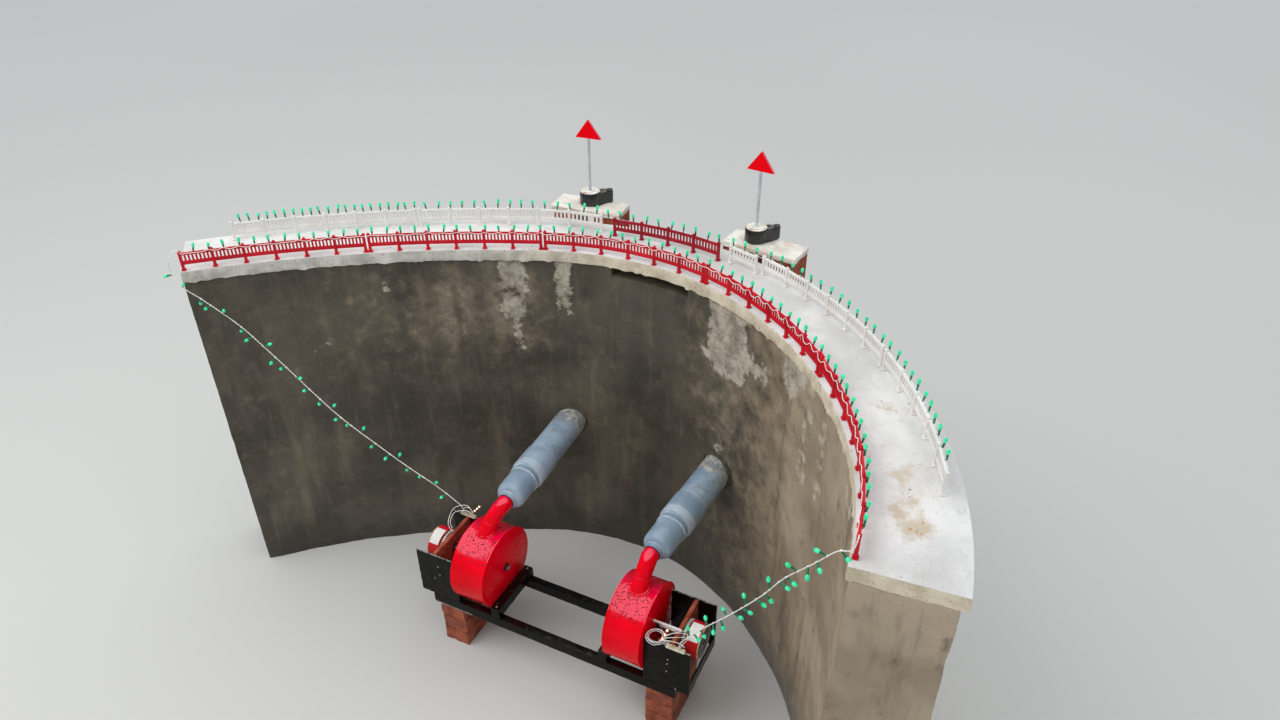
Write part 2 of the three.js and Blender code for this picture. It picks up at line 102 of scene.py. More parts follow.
def colour(red, green, blue):
    """A screen colour, 0 to 255, as the linear colour that a shader takes"""
    def linear(value):
        value /= 255
        return value / 12.92 if value <= 0.04045 else ((value + 0.055) / 1.055) ** 2.4
    return (linear(red), linear(green), linear(blue), 1.0)


# Places on the crest
def crest_arcs():
    """Each arc's first station, its length, radius, first heading and centre"""
    arcs, start, heading, done = [], CREST_START.copy(), CREST_HEADING, 0.0
    for radius, length in CREST_ARCS:
        centre = start + radius * Vector((math.sin(heading), -math.cos(heading)))
        arcs.append((done, length, radius, heading, centre))
        heading -= length / radius
        start = centre + radius * Vector((-math.sin(heading), math.cos(heading)))
        done += length
    return arcs


ARCS = crest_arcs()


def crest_point(s, offset, z=0.0):
    """A point a distance upstream of the crest line, after a length s along it"""
    first, _, radius, heading, centre = [arc for arc in ARCS if s >= arc[0] or arc is ARCS[0]][-1]
    heading -= (s - first) / radius
    reach = radius + offset
    return Vector((centre.x - reach * math.sin(heading), centre.y + reach * math.cos(heading), z))


def crest_place(s, offset, z=0.0):
    """A place on the crest whose X runs along the crest and whose Y points upstream"""
    ahead = crest_point(s + 0.001, offset) - crest_point(s - 0.001, offset)
    turn = Matrix.Rotation(math.atan2(ahead.y, ahead.x), 4, "Z")
    return Matrix.Translation(crest_point(s, offset, z)) @ turn


def crest_lengths(points):
    """Length along the crest and offset from it of many points, as two arrays"""
    best_s, best_offset = np.zeros(len(points)), np.full(len(points), 1e9)
    for index, (first, length, radius, heading, centre) in enumerate(ARCS):
        away = points[:, :2] - np.array(centre)
        run = radius * (heading - np.arctan2(-away[:, 0], away[:, 1]))
        offset = np.hypot(away[:, 0], away[:, 1]) - radius
        inside = (run >= 0) | (index == 0)
        inside &= (run <= length) | (index == len(ARCS) - 1)
        better = inside & (np.abs(offset) < np.abs(best_offset))
        best_s[better] = first + run[better]
        best_offset[better] = offset[better]
    return best_s, best_offset


def crest_at(point):
    """Length along the crest and offset from it of one point"""
    s, offset = crest_lengths(np.array([tuple(point)]))
    return s[0], offset[0]


def upstream_offset(s):
    """How far upstream of the crest line the upstream fence stands"""
    return float(np.interp(s, *zip(*UPSTREAM_LINE)))


def along_axis(start, along):
    """A place whose Z runs along an axis"""
    return Matrix.Translation(start) @ Vector(along).to_track_quat("Z", "Y").to_matrix().to_4x4()


def spoke(place, turn, reach=0.0, height=0.0):
    """A place turned about its own Z, then moved outward and up"""
    return place @ (Matrix.Rotation(turn, 4, "Z") @ Matrix.Translation((reach, 0, height)))


def penstock_axis(name):
    """Where a penstock starts, which way it runs, and how far from its start the wall is"""
    run = MOUTHS[name] - JOINTS[name]
    return JOINTS[name], run.normalized(), run.length


def penstock_place(name):
    """A place at a penstock's start whose Z runs up the pipe"""
    start, along, _ = penstock_axis(name)
    return along_axis(start, along)


# Paths
def smooth_path(points, count):
    """count + 1 points on a centripetal Catmull-Rom curve through the points"""
    points = [Vector(p) for p in points]
    ends = [2 * points[0] - points[1], *points, 2 * points[-1] - points[-2]]
    path = []
    for i in range(count + 1):
        position = (len(points) - 1) * i / count
        k = min(int(position), len(points) - 2)
        t = position - k
        a, b, c, d = ends[k:k + 4]
        ab, bc, cd = ((q - p).length ** 0.5 for p, q in ((a, b), (b, c), (c, d)))
        out = ((b - a) / ab - (c - a) / (ab + bc) + (c - b) / bc) * bc
        back = ((c - b) / bc - (d - b) / (bc + cd) + (d - c) / cd) * bc
        path.append(b + out * t + (3 * (c - b) - 2 * out - back) * t ** 2
                    + (2 * (b - c) + out + back) * t ** 3)
    return path


def even_path(points, step):
    """Points about a step apart along a polyline, with both of its ends"""
    lengths = np.cumsum([0.0] + [(b - a).length for a, b in zip(points, points[1:])])
    at = np.linspace(0.0, lengths[-1], max(2, round(lengths[-1] / step)) + 1)
    flat = np.array([tuple(p) for p in points])
    return [Vector(p) for p in zip(*(np.interp(at, lengths, flat[:, k]) for k in range(3)))]


def path_frames(path, closed=False):
    """A place at each point of a path, with Z along it and as little twist as can be"""
    frames, side, last = [], None, len(path) - 1
    for i, point in enumerate(path):
        ahead = path[(i + 1) % len(path)] if closed else path[min(i + 1, last)]
        behind = path[i - 1] if closed else path[max(i - 1, 0)]
        along = (ahead - behind).normalized()
        side = side or along.orthogonal()
        side = (side - along * side.dot(along)).normalized()
        up = along.cross(side)
        frames.append(Matrix.Translation(point) @ Matrix((side, up, along)).transposed().to_4x4())
    return frames


def ripple(spot, scale=1.0, shift=(0, 0, 0), fade=0.9, octaves=4, gap=2.0):
    """Uneven height at a spot, about 0"""
    return noise.fractal(spot * scale + Vector(shift), fade, gap, octaves)


# Mesh building
def circle(radius, sides, height=0.0):
    """The corners of a polygon round Z"""
    turns = [2 * math.pi * k / sides for k in range(sides)]
    return [(radius * math.cos(turn), radius * math.sin(turn), height) for turn in turns]


def square(half, height):
    """The corners of a square about Z"""
    return [(-half, -half, height), (half, -half, height), (half, half, height), (-half, half, height)]


def lattice(nx, ny, nz):
    """The surface of a unit box, cut into nx by ny by nz cells: points and faces"""
    points, faces, index = [], [], {}
    counts = (nx, ny, nz)

    def at(cell):
        if cell not in index:
            index[cell] = len(points)
            points.append(tuple(c / n for c, n in zip(cell, counts)))
        return index[cell]

    for axis in range(3):
        u, v = (axis + 1) % 3, (axis + 2) % 3
        for side in (0, counts[axis]):
            for i in range(counts[u]):
                for j in range(counts[v]):
                    corners = []
                    for di, dj in ((0, 0), (1, 0), (1, 1), (0, 1)):
                        cell = [0, 0, 0]
                        cell[axis], cell[u], cell[v] = side, i + di, j + dj
                        corners.append(at(tuple(cell)))
                    faces.append(corners if side else corners[::-1])
    return points, faces


class Shape:
    """Points and faces that become one piece"""

    def __init__(self):
        self.points, self.faces, self.paints = [], [], []

    def add(self, points, faces, paint=0, place=None):
        first = len(self.points)
        self.points += [place @ Vector(p) if place else Vector(p) for p in points]
        self.faces += [[first + i for i in face] for face in faces]
        self.paints += [paint] * len(faces)

    def loops(self, loops, paint=0, place=None, ends=True):
        """Loops of equal length joined in turn: capped at both ends, or closed on itself"""
        count, faces = len(loops[0]), []
        for i in range(len(loops) - (1 if ends else 0)):
            near, far = i * count, (i + 1) % len(loops) * count
            for k in range(count):
                ahead = (k + 1) % count
                faces.append([near + k, near + ahead, far + ahead, far + k])
        if ends:
            last = (len(loops) - 1) * count
            faces += [list(range(count))[::-1], list(range(last, last + count))]
        self.add([p for loop in loops for p in loop], faces, paint, place)

    def turned(self, profile, sides=48, paint=0, place=None, ends=True):
        """A profile of (radius, height) turned about Z; without ends it closes on itself"""
        self.loops([circle(radius, sides, height) for radius, height in profile], paint, place, ends)

    def swept(self, path, radius, sides=8, paint=0, closed=False):
        """A round tube along a path; radius may be a function of the point's index"""
        loops = []
        for i, spot in enumerate(path_frames(path, closed)):
            size = radius(i) if callable(radius) else radius
            loops.append([spot @ Vector(p) for p in circle(size, sides)])
        self.loops(loops, paint, None, not closed)

    def disc(self, radius, low, high, chamfer, sides=32, paint=0, place=None):
        """A round bar between two heights, with chamfered ends"""
        self.turned([(radius - chamfer, low), (radius, low + chamfer), (radius, high - chamfer),
                     (radius - chamfer, high)], sides, paint, place)

    def block(self, low, high, bevel=0.0005, paint=0, place=None):
        """A box between two corners, with chamfered edges"""
        (x0, x1), (y0, y1), (z0, z1) = (sorted(pair) for pair in zip(low, high))
        bevel = min(bevel, 0.4 * min(x1 - x0, y1 - y0, z1 - z0))
        loops = []
        for inset, corner, z in ((bevel, bevel * 0.3, z0), (0, bevel, z0 + bevel),
                                 (0, bevel, z1 - bevel), (bevel, bevel * 0.3, z1)):
            a, b, c, d = x0 + inset, x1 - inset, y0 + inset, y1 - inset
            loops.append([(a + corner, c, z), (b - corner, c, z), (b, c + corner, z), (b, d - corner, z),
                          (b - corner, d, z), (a + corner, d, z), (a, d - corner, z), (a, c + corner, z)])
        self.loops(loops, paint, place)

    def rough(self, low, high, cell, radius, lumps, paint=0, place=None, scale=30.0, seed=0.0):
        """A box with rounded, uneven edges and faces, for brick, cement and sawn board"""
        low, high = Vector(low), Vector(high)
        cells, faces = lattice(*(max(2, round(d / cell)) for d in high - low))
        points = []
        for part in cells:
            flat = Vector([a + (b - a) * p for a, b, p in zip(low, high, part)])
            inner = Vector([min(max(f, a + radius), b - radius) for f, a, b in zip(flat, low, high)])
            out = (flat - inner).normalized()
            point = inner + out * radius
            dent = max(0.0, 0.5 + ripple(point, scale, (seed, seed, seed), 1.0))
            points.append(point - out * lumps * dent)
        self.add(points, faces, paint, place)


def mesh_object(name, shape, materials=(), smooth=35):
    """A mesh object made of a shape, with its faces outward, not yet part of anything"""
    mesh = bpy.data.meshes.new(name)
    mesh.from_pydata([tuple(p) for p in shape.points], [], shape.faces)
    for material in materials:
        mesh.materials.append(material)
    mesh.polygons.foreach_set("material_index", shape.paints)
    faces = bmesh.new()
    faces.from_mesh(mesh)
    bmesh.ops.recalc_face_normals(faces, faces=faces.faces)
    faces.to_mesh(mesh)
    faces.free()
    mesh.shade_smooth()
    mesh.set_sharp_from_angle(angle=math.radians(smooth))
    made = bpy.data.objects.new(name, mesh)
    bpy.context.scene.collection.objects.link(made)
    return made


def settle(made, body=PLANT, replaces=()):
    """Says which body a piece rides on, and the solids that it stands for"""
    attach(made, body)
    if replaces:
        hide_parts(*replaces)
    return made


def piece(name, shape, materials, body=PLANT, smooth=35):
    """A piece that adds to the solids"""
    return settle(mesh_object(name, shape, materials, smooth), body)


def finish(node, shape, materials, body=PLANT, smooth=35):
    """A piece that stands for one solid"""
    return settle(mesh_object(node + "_finish", shape, materials, smooth), body, (node,))


def plug(radius, low, high, sides, place):
    """A plain cylinder to cut a hole with"""
    shape = Shape()
    shape.turned([(radius, low), (radius, high)], sides, 0, place)
    return shape


def cut(made, shapes):
    """Cuts shapes out of an object"""
    tools = [mesh_object("tool", shape) for shape in shapes]
    for tool in tools:
        change = made.modifiers.new("cut", "BOOLEAN")
        change.operation, change.solver, change.object = "DIFFERENCE", "EXACT", tool
    bpy.context.view_layer.update()
    result = bpy.data.meshes.new_from_object(made.evaluated_get(bpy.context.evaluated_depsgraph_get()))
    made.modifiers.clear()
    made.data = result
    for tool in tools:
        bpy.data.objects.remove(tool)


def mesh_points(made):
    """A mesh's points, as rows of an array"""
    flat = np.empty(len(made.data.vertices) * 3)
    made.data.vertices.foreach_get("co", flat)
    return flat.reshape(-1, 3)


def mark(made, **layers):
    """Writes vectors at each point of a mesh, for its material to read"""
    for name, values in layers.items():
        layer = made.data.attributes.new(name, "FLOAT_VECTOR", "POINT")
        layer.data.foreach_set("vector", np.ascontiguousarray(values, dtype=np.float32).ravel())


# Material building
class Look:
    """One material's node tree, built up step by step"""

    def __init__(self, name, **values):
        self.material = bpy.data.materials.new(name)
        self.material.use_nodes = True
        self.tree = self.material.node_tree
        self.shader = self.tree.nodes["Principled BSDF"]
        for socket, value in values.items():
            self.shader.inputs[socket.replace("_", " ")].default_value = value
        self.spot = self.add("TexCoord", {}).outputs["Object"]

    def put(self, socket, value):
        """Links a node's output to a socket, or writes a value there"""
        if isinstance(value, bpy.types.NodeSocket):
            self.tree.links.new(value, socket)
        else:
            socket.default_value = value

    def add(self, kind, inputs, **settings):
        node = self.tree.nodes.new("ShaderNode" + kind)
        for key, value in settings.items():
            setattr(node, key, value)
        for key, value in inputs.items():
            self.put(node.inputs[key], value)
        return node

    def attribute(self, name):
        return self.add("Attribute", {}, attribute_name=name).outputs["Vector"]

    def stretched(self, scale, at=None):
        return self.add("Mapping", {"Vector": at or self.spot, "Scale": scale}).outputs["Vector"]

    def noise(self, scale, detail=4.0, roughness=0.6, at=None):
        return self.add("TexNoise", {"Vector": at or self.spot, "Scale": scale, "Detail": detail,
                                     "Roughness": roughness}).outputs["Fac"]

    def cells(self, scale, at=None):
        return self.add("TexVoronoi", {"Vector": at or self.spot, "Scale": scale}).outputs["Distance"]

    def mask(self, value, low, high, start=0.0, end=1.0):
        """start where the value is low, end where it is high, and smooth between"""
        return self.add("MapRange", {"Value": value, "From Min": low, "From Max": high, "To Min": start,
                                     "To Max": end}, interpolation_type="SMOOTHSTEP").outputs["Result"]

    def scaled(self, share, start, end):
        """start where a share is 0, and end where it is 1"""
        return self.mask(share, 0.0, 1.0, start, end)

    def math(self, operation, a, b):
        return self.add("Math", {0: a, 1: b}, operation=operation).outputs[0]

    def ragged(self, value, grain, amount):
        """A value with a grain's unevenness added"""
        return self.math("ADD", value, self.mask(grain, 0.2, 0.8, -amount, amount))

    def part(self, vector, axis):
        return self.add("SeparateXYZ", {"Vector": vector}).outputs[axis]

    def mix(self, amount, a, b):
        """From a to b as amount goes from 0 to 1, each a screen colour or a node's output"""
        node = self.add("Mix", {"Factor": amount}, data_type="RGBA")
        for index, tone in ((6, a), (7, b)):
            self.put(node.inputs[index], colour(*tone) if isinstance(tone, tuple) else tone)
        return node.outputs[2]

    def blend(self, grain, a, b):
        """Two near tones, shared out by the middle range of a noise"""
        return self.mix(self.mask(grain, 0.35, 0.65), a, b)

    def over(self, base, amount, tone, strength=1.0):
        """A tone laid over a base where amount is 1"""
        return self.mix(self.math("MULTIPLY", amount, strength), base, tone)

    def layers(self, base, *layers):
        """Tones laid over a base in turn, each from a value's low to its high"""
        for value, low, high, tone, strength in layers:
            base = self.over(base, self.mask(value, low, high), tone, strength)
        return base

    def upward(self):
        """How far the surface faces up, from -1 to 1"""
        return self.part(self.add("NewGeometry", {}).outputs["Normal"], "Z")

    def bump(self, height, distance, strength=0.6):
        inputs = {"Height": height, "Distance": distance, "Strength": strength}
        under = self.shader.inputs["Normal"].links
        if under:
            inputs["Normal"] = under[0].from_socket
        node = self.add("Bump", inputs)
        self.tree.links.new(node.outputs["Normal"], self.shader.inputs["Normal"])

    def feed(self, **links):
        for socket, value in links.items():
            self.tree.links.new(value, self.shader.inputs[socket.replace("_", " ")])
        return self.material


def render_look():
    """The dam's wet, hand-trowelled render, with dry patches under the deck"""
    look = Look("wet_render")
    place = look.attribute("crest")
    dry, light, wet = (look.part(look.attribute("stains"), axis) for axis in "XYZ")
    broad = look.noise(2.6, 4, 0.6, place)
    streaks = look.noise(9.0, 5, 0.62, look.stretched((1.0, 1.0, 0.13), place))
    fine_streaks = look.noise(34.0, 4, 0.65, look.stretched((1.0, 1.0, 0.1), place))
    blotch = look.noise(17.0, 6, 0.72, place)
    grain = look.noise(210.0, 4, 0.7, place)
    dark = look.blend(broad, (62, 56, 45), (94, 86, 72))
    pale = look.blend(broad, (150, 134, 112), (188, 170, 146))
    base = look.layers(
        look.mix(look.scaled(look.ragged(light, blotch, 0.34), 0.0, 1.0), dark, pale),
        (streaks, 0.52, 0.74, (140, 127, 106), 0.4), (streaks, 0.46, 0.28, (52, 47, 39), 0.55),
        (fine_streaks, 0.56, 0.72, (112, 106, 94), 0.35), (blotch, 0.44, 0.3, (58, 55, 48), 0.4))
    patch = look.mask(look.ragged(dry, blotch, 0.52), 0.52, 0.74)
    speckle = look.mask(look.noise(75.0, 5, 0.75, place), 0.6, 0.42)
    chalk = look.mix(look.mask(blotch, 0.4, 0.62), (158, 149, 134), (204, 196, 180))
    base = look.over(base, look.math("MULTIPLY", patch, look.scaled(speckle, 0.68, 1.0)), chalk, 0.92)
    soaked = look.mask(look.ragged(wet, blotch, 0.4), 0.3, 0.95)
    base = look.layers(look.over(base, soaked, (42, 40, 35), 0.7), (grain, 0.57, 0.7, (34, 32, 27), 0.32),
                       (grain, 0.42, 0.3, (176, 168, 152), 0.22))
    rough = look.math("SUBTRACT", look.scaled(patch, 0.6, 0.95), look.scaled(soaked, 0.0, 0.3))
    look.bump(look.noise(11.0, 5, 0.6, place), 0.004)
    look.bump(grain, 0.0012)
    return look.feed(Base_Color=base, Roughness=rough)


def deck_look():
    """The deck's pale trowelled top, with dirt and rusty sand trodden in"""
    look = Look("deck_top", Roughness=0.85)
    place = look.attribute("crest")
    stain = look.part(look.attribute("stains"), "X")
    broad, middle, fine = (look.noise(scale, 5, 0.65, place) for scale in (4.0, 13.0, 75.0))
    base = look.layers(look.blend(broad, (206, 204, 202), (232, 230, 228)),
                       (middle, 0.55, 0.7, (194, 191, 188), 0.5), (fine, 0.57, 0.72, (150, 147, 142), 0.4))
    dirt = look.mask(look.ragged(stain, middle, 0.55), 0.45, 0.95)
    base = look.over(base, dirt, (196, 176, 146), 0.75)
    sand = look.math("MULTIPLY", dirt, look.mask(look.cells(46.0, place), 0.26, 0.1))
    base = look.over(base, sand, (196, 138, 78), 0.85)
    specks = look.math("MULTIPLY", look.mask(look.cells(30.0, place), 0.1, 0.05),
                       look.mask(look.noise(9.0, 2, 0.5, place), 0.56, 0.62))
    look.bump(look.noise(24.0, 4, 0.6, place), 0.0014)
    look.bump(fine, 0.0006)
    return look.feed(Base_Color=look.over(base, specks, (86, 72, 56), 0.85))


def deck_edge_look():
    """The deck's rough edge, grey at the left end and warmer toward the right"""
    look = Look("deck_edge", Roughness=0.92)
    place = look.attribute("crest")
    grit = look.noise(150.0, 5, 0.75, place)
    broad = look.noise(12.0, 4, 0.65, place)
    grey = look.blend(broad, (184, 181, 174), (226, 222, 214))
    warm = look.blend(broad, (202, 188, 162), (236, 224, 200))
    base = look.layers(look.mix(look.mask(look.part(place, "X"), 0.75, 1.5), grey, warm),
                       (grit, 0.57, 0.7, (92, 85, 72), 0.7), (grit, 0.43, 0.32, (232, 226, 210), 0.5),
                       (look.cells(62.0, place), 0.16, 0.08, (74, 68, 56), 0.7))
    look.bump(look.noise(60.0, 5, 0.7, place), 0.003)
    look.bump(grit, 0.0016)
    return look.feed(Base_Color=base)


def cement_look():
    """The towers' slabs: pale cement with warm blotches and a few dark specks"""
    look = Look("tower_cement", Roughness=0.9)
    fine = look.noise(130.0, 5, 0.7)
    base = look.layers(look.blend(look.noise(16.0, 5, 0.65), (214, 207, 194), (240, 236, 228)),
                       (look.noise(24.0, 4, 0.6), 0.52, 0.68, (214, 176, 156), 0.5),
                       (fine, 0.58, 0.7, (124, 114, 100), 0.45))
    look.bump(look.noise(45.0, 5, 0.65), 0.003)
    look.bump(fine, 0.0008)
    return look.feed(Base_Color=base)


def brick_look(name, low, high, crumb, rough):
    """Fired clay with darker crumbs and pale dust"""
    look = Look(name, Roughness=rough)
    broad, grain = look.noise(22.0, 5, 0.65), look.noise(190.0, 5, 0.75)
    base = look.layers(look.blend(broad, low, high), (grain, 0.56, 0.68, crumb, 0.6),
                       (look.noise(34.0), 0.6, 0.75, (190, 140, 112), 0.35))
    look.bump(broad, 0.002)
    look.bump(grain, 0.0008)
    return look.feed(Base_Color=base)


def mortar_look(name, low, high, crumb):
    """Mortar, and the board that is painted with rough red oxide"""
    look = Look(name, Roughness=0.9)
    grain = look.noise(150.0, 5, 0.7)
    base = look.layers(look.blend(look.noise(25.0), low, high), (grain, 0.55, 0.7, crumb, 0.5))
    look.bump(grain, 0.0012, 0.8)
    return look.feed(Base_Color=base)


def plastic_look(name, low, high, dirt):
    """Moulded toy plastic with a slightly uneven colour and dust in its corners"""
    look = Look(name, Specular_IOR_Level=0.25)
    dust = look.mask(look.noise(38.0, 5, 0.7), 0.58, 0.74)
    base = look.mix(look.mask(look.noise(14.0, 3), 0.3, 0.7), low, high)
    look.bump(look.noise(260.0, 3), 0.00025)
    return look.feed(Base_Color=look.over(base, dust, dirt, 0.3), Roughness=look.scaled(dust, 0.38, 0.8))


def lamp_look():
    """A lamp's clear green cap, which glows a little"""
    look = Look("lamp_green", Roughness=0.18, IOR=1.47, Coat_Weight=0.6, Coat_Roughness=0.06,
                Subsurface_Weight=0.3, Subsurface_Radius=(0.004, 0.012, 0.009),
                Emission_Color=colour(30, 226, 158), Emission_Strength=0.3)
    return look.feed(Base_Color=look.blend(look.noise(90.0, 2), (16, 188, 128), (66, 232, 176)))


def enamel_look(name, deep, bright, gloss, coat_and_sheen):
    """Brushed-on gloss enamel, a little uneven, and wet where it faces up, with a painted pink sky reflection
    laid over the red there
    """
    look = Look(name, Coat_Roughness=0.07, Coat_IOR=1.75, Specular_IOR_Level=0.05)
    # Upward faces get a clear coat and a painted sheen: a deep pink tint standing in for the sky's reflection
    wet = look.mask(look.upward(), 0.7, 0.78)
    streaks = look.noise(60.0, 4, 0.6, look.stretched((0.25, 1.0, 1.0)))
    base = look.mix(look.mask(look.noise(7.0), 0.3, 0.7), deep, bright)
    base = look.layers(base, (streaks, 0.58, 0.75, (140, 0, 14), 0.12))
    look.bump(look.noise(22.0), 0.0008, 0.3)
    look.bump(look.noise(170.0, 3), 0.0002, 0.35)
    # Painted reflection: the pink tint over upward faces, as strong as the coat
    return look.feed(Base_Color=look.over(base, wet, (248, 0, 62), coat_and_sheen),
                     Roughness=look.mask(streaks, 0.4, 0.7, gloss * 0.7, gloss * 1.6),
                     Coat_Weight=look.scaled(wet, coat_and_sheen * 0.06, coat_and_sheen))


def black_look():
    """Wet black paint on the frame, worn pale on the plates' sawn tops"""
    look = Look("frame_black", Specular_IOR_Level=0.08, Coat_Roughness=0.08)
    broad = look.noise(12.0, 5)
    base = look.mix(look.mask(broad, 0.35, 0.7), (8, 7, 7), (22, 20, 18))
    worn = look.ragged(look.part(look.attribute("worn"), "X"), look.noise(85.0, 5, 0.75), 0.6)
    chips = look.mask(worn, 0.78, 1.0)
    grit = look.mask(look.noise(46.0, 5, 0.75), 0.56, 0.74)
    silt = look.math("MULTIPLY", look.mask(look.upward(), 0.7, 0.95), grit)
    base = look.over(look.over(base, chips, (150, 147, 140)), silt, (110, 104, 94), 0.45)
    rough = look.math("ADD", look.mask(broad, 0.35, 0.65, 0.12, 0.36), look.scaled(chips, 0.0, 0.5))
    look.bump(look.noise(40.0, 5, 0.65), 0.001, 0.5)
    return look.feed(Base_Color=base, Roughness=rough,
                     Coat_Weight=look.mask(look.upward(), 0.6, 0.95, 0.03, 0.5))


def pvc_look():
    """Grey pipe: scuffed, with a pale band, dirt on top and cement splashed on toward the wall"""
    look = Look("grey_pvc", Coat_Weight=0.2, Coat_Roughness=0.15)
    run, to_wall = (look.part(look.attribute("pipe"), axis) for axis in "XY")
    fleck, scuff = look.noise(42.0, 6, 0.78), look.noise(80.0, 5, 0.7)
    base = look.layers(look.blend(look.noise(9.0), (132, 154, 174), (164, 184, 202)),
                       (scuff, 0.57, 0.72, (198, 208, 216), 0.4))
    band_end = look.mask(look.ragged(run, scuff, 0.004), 0.172, 0.166)
    band = look.math("MULTIPLY", look.mask(run, 0.139, 0.142), band_end)
    base = look.over(base, band, (204, 214, 224), 0.5)
    mud = look.math("MULTIPLY", look.mask(look.noise(20.0, 4, 0.7), 0.55, 0.7),
                    look.mask(look.upward(), 0.0, 0.6))
    base = look.over(base, mud, (132, 116, 88), 0.55)
    splash = look.mask(look.ragged(look.mask(to_wall, 0.17, 0.0), fleck, 0.62), 0.42, 0.85)
    cement = look.mix(look.mask(fleck, 0.42, 0.62), (126, 121, 110), (204, 200, 190))
    look.bump(look.noise(120.0), 0.0004)
    look.bump(splash, 0.0014)
    return look.feed(Base_Color=look.over(base, splash, cement, 0.9),
                     Roughness=look.scaled(splash, 0.36, 0.9))


def steel_look(name, low, high, metallic=1.0, rough=0.3):
    """Bright or wet metal with drawn lines and a little rust"""
    look = Look(name, Roughness=rough, Metallic=metallic)
    lines = look.noise(220.0, 3, 0.6, look.stretched((1.0, 1.0, 0.15)))
    base = look.layers(look.blend(lines, low, high),
                       (look.noise(80.0, 5, 0.7), 0.6, 0.72, (126, 92, 66), 0.5))
    look.bump(lines, 0.0002)
    return look.feed(Base_Color=base)


def plain_look(name, low, high, rough=0.5, scale=60.0, **values):
    """A small part's finish: two near tones and a fine grain"""
    look = Look(name, Roughness=rough, **values)
    grain = look.noise(scale, 4, 0.65)
    look.bump(grain, 0.0003)
    return look.feed(Base_Color=look.blend(grain, low, high))


RENDER = render_look()
DECK = deck_look()
DECK_EDGE = deck_edge_look()
CEMENT = cement_look()
WET_BRICK = brick_look("wet_brick", (118, 46, 22), (168, 80, 44), (56, 24, 16), 0.5)
HOLLOW_BRICK = brick_look("hollow_brick", (140, 70, 50), (176, 98, 72), (90, 46, 34), 0.9)
MORTAR = mortar_look("mortar", (120, 114, 102), (150, 143, 129), (84, 78, 68))
WET_MORTAR = mortar_look("wet_mortar", (58, 55, 48), (92, 87, 76), (34, 32, 28))
OXIDE = mortar_look("oxide_board", (134, 56, 38), (176, 92, 66), (84, 36, 26))
RED_PLASTIC = plastic_look("red_plastic", (196, 8, 30), (222, 18, 40), (150, 96, 84))
DARK_RED_PLASTIC = plastic_look("dark_red_plastic", (150, 12, 34), (178, 22, 44), (130, 88, 78))
WHITE_PLASTIC = plastic_look("white_plastic", (232, 231, 226), (246, 245, 241), (176, 168, 152))
LAMP = lamp_look()
# The last number sets the clear coat and the painted pink sky reflection on upward faces
ENAMEL = enamel_look("red_enamel", (226, 0, 22), (250, 0, 32), 0.25, 1.0)
SIGN_RED = enamel_look("sign_red", (250, 0, 14), (255, 4, 26), 0.4, 0.0)
DULL_RED = enamel_look("generator_red", (176, 26, 30), (206, 44, 44), 0.35, 0.3)
BLACK = black_look()
PVC = pvc_look()
BRIGHT = steel_look("bright_steel", (176, 174, 168), (214, 212, 206))
WET_STEEL = steel_look("wet_steel", (92, 88, 82), (132, 126, 118), 0.8, 0.32)
FIN_METAL = steel_look("fin_metal", (176, 176, 172), (232, 232, 228), 0.6, 0.35)
STEM = plain_look("lamp_stem", (8, 92, 60), (20, 140, 96), 0.4, 140.0)
WIRE = plain_look("white_wire", (236, 233, 226), (254, 253, 250), 0.45)
SIGN_EDGE = plain_look("sign_edge", (232, 74, 96), (246, 110, 128), 0.45, 70.0)
SAWN = plain_look("sawn_edge", (104, 102, 98), (156, 152, 144), 0.8, 90.0)
GLUE = plain_look("pipe_glue", (196, 202, 204), (232, 234, 232), 0.6, 120.0)
RUBBER = plain_look("joint_rubber", (14, 20, 44), (26, 36, 66))
ROD = plain_look("rod_white", (184, 192, 196), (212, 218, 220), 0.4, 30.0)
CREAM = plain_look("cream_plastic", (200, 192, 164), (232, 226, 204))
LABEL = plain_look("label_white", (228, 228, 222), (246, 246, 242), 0.4, 18.0)
TAN_RING = plain_look("motor_ring", (176, 148, 104), (210, 184, 138), 0.45)
MOTOR_BLACK = plain_look("motor_black", (8, 11, 11), (24, 29, 29), 0.28, 90.0, Coat_Weight=0.4)
CASE_DARK = plain_look("bearing_dark", (36, 6, 10), (62, 12, 16), 0.35, 80.0, Coat_Weight=0.3)
FILLER = plain_look("filler_white", (206, 200, 188), (240, 236, 226), 0.85, 55.0)
RUST_SPOT = plain_look("rust_spot", (170, 44, 30), (206, 78, 50), 0.7, 90.0)
BRASS = plain_look("screw_brass", (180, 146, 80), (212, 180, 112), 0.35, 90.0, Metallic=0.9)
COPPER = plain_look("copper_bit", (156, 84, 44), (198, 120, 66), 0.35, 90.0, Metallic=0.7)
GLOW = plain_look("led_glow", (255, 226, 200), (255, 250, 240), 0.2, 90.0,
                  Emission_Color=colour(255, 214, 170), Emission_Strength=2.4)
# Dark glossy red for the water drops on the drum, and for the weld's middle bead as painted shade in its
# crevices
DROP_AND_CREVICE_SHADE = plain_look("water_drop_and_crevice_shade", (104, 0, 16), (140, 0, 24), 0.16, 40.0, Specular_IOR_Level=0.3)


# Camera
LENS, SENSOR = 25.33, 36.0
CAMERA_PLACE = (1.122, -2.424, 2.58)
CAMERA_PITCH, CAMERA_TURN = 56.77, 25.89


def add_camera():
    """The camera that sees the plant from above, in front and to the right"""
    camera = bpy.data.objects.new("camera", bpy.data.cameras.new("camera"))
    camera.data.lens = LENS
    camera.data.sensor_width = SENSOR
    camera.location = CAMERA_PLACE
    camera.rotation_euler = (math.radians(CAMERA_PITCH), 0.0, math.radians(CAMERA_TURN))
    bpy.context.scene.collection.objects.link(camera)
    bpy.context.scene.camera = camera
    bpy.context.scene.view_settings.view_transform = "Standard"


add_camera()


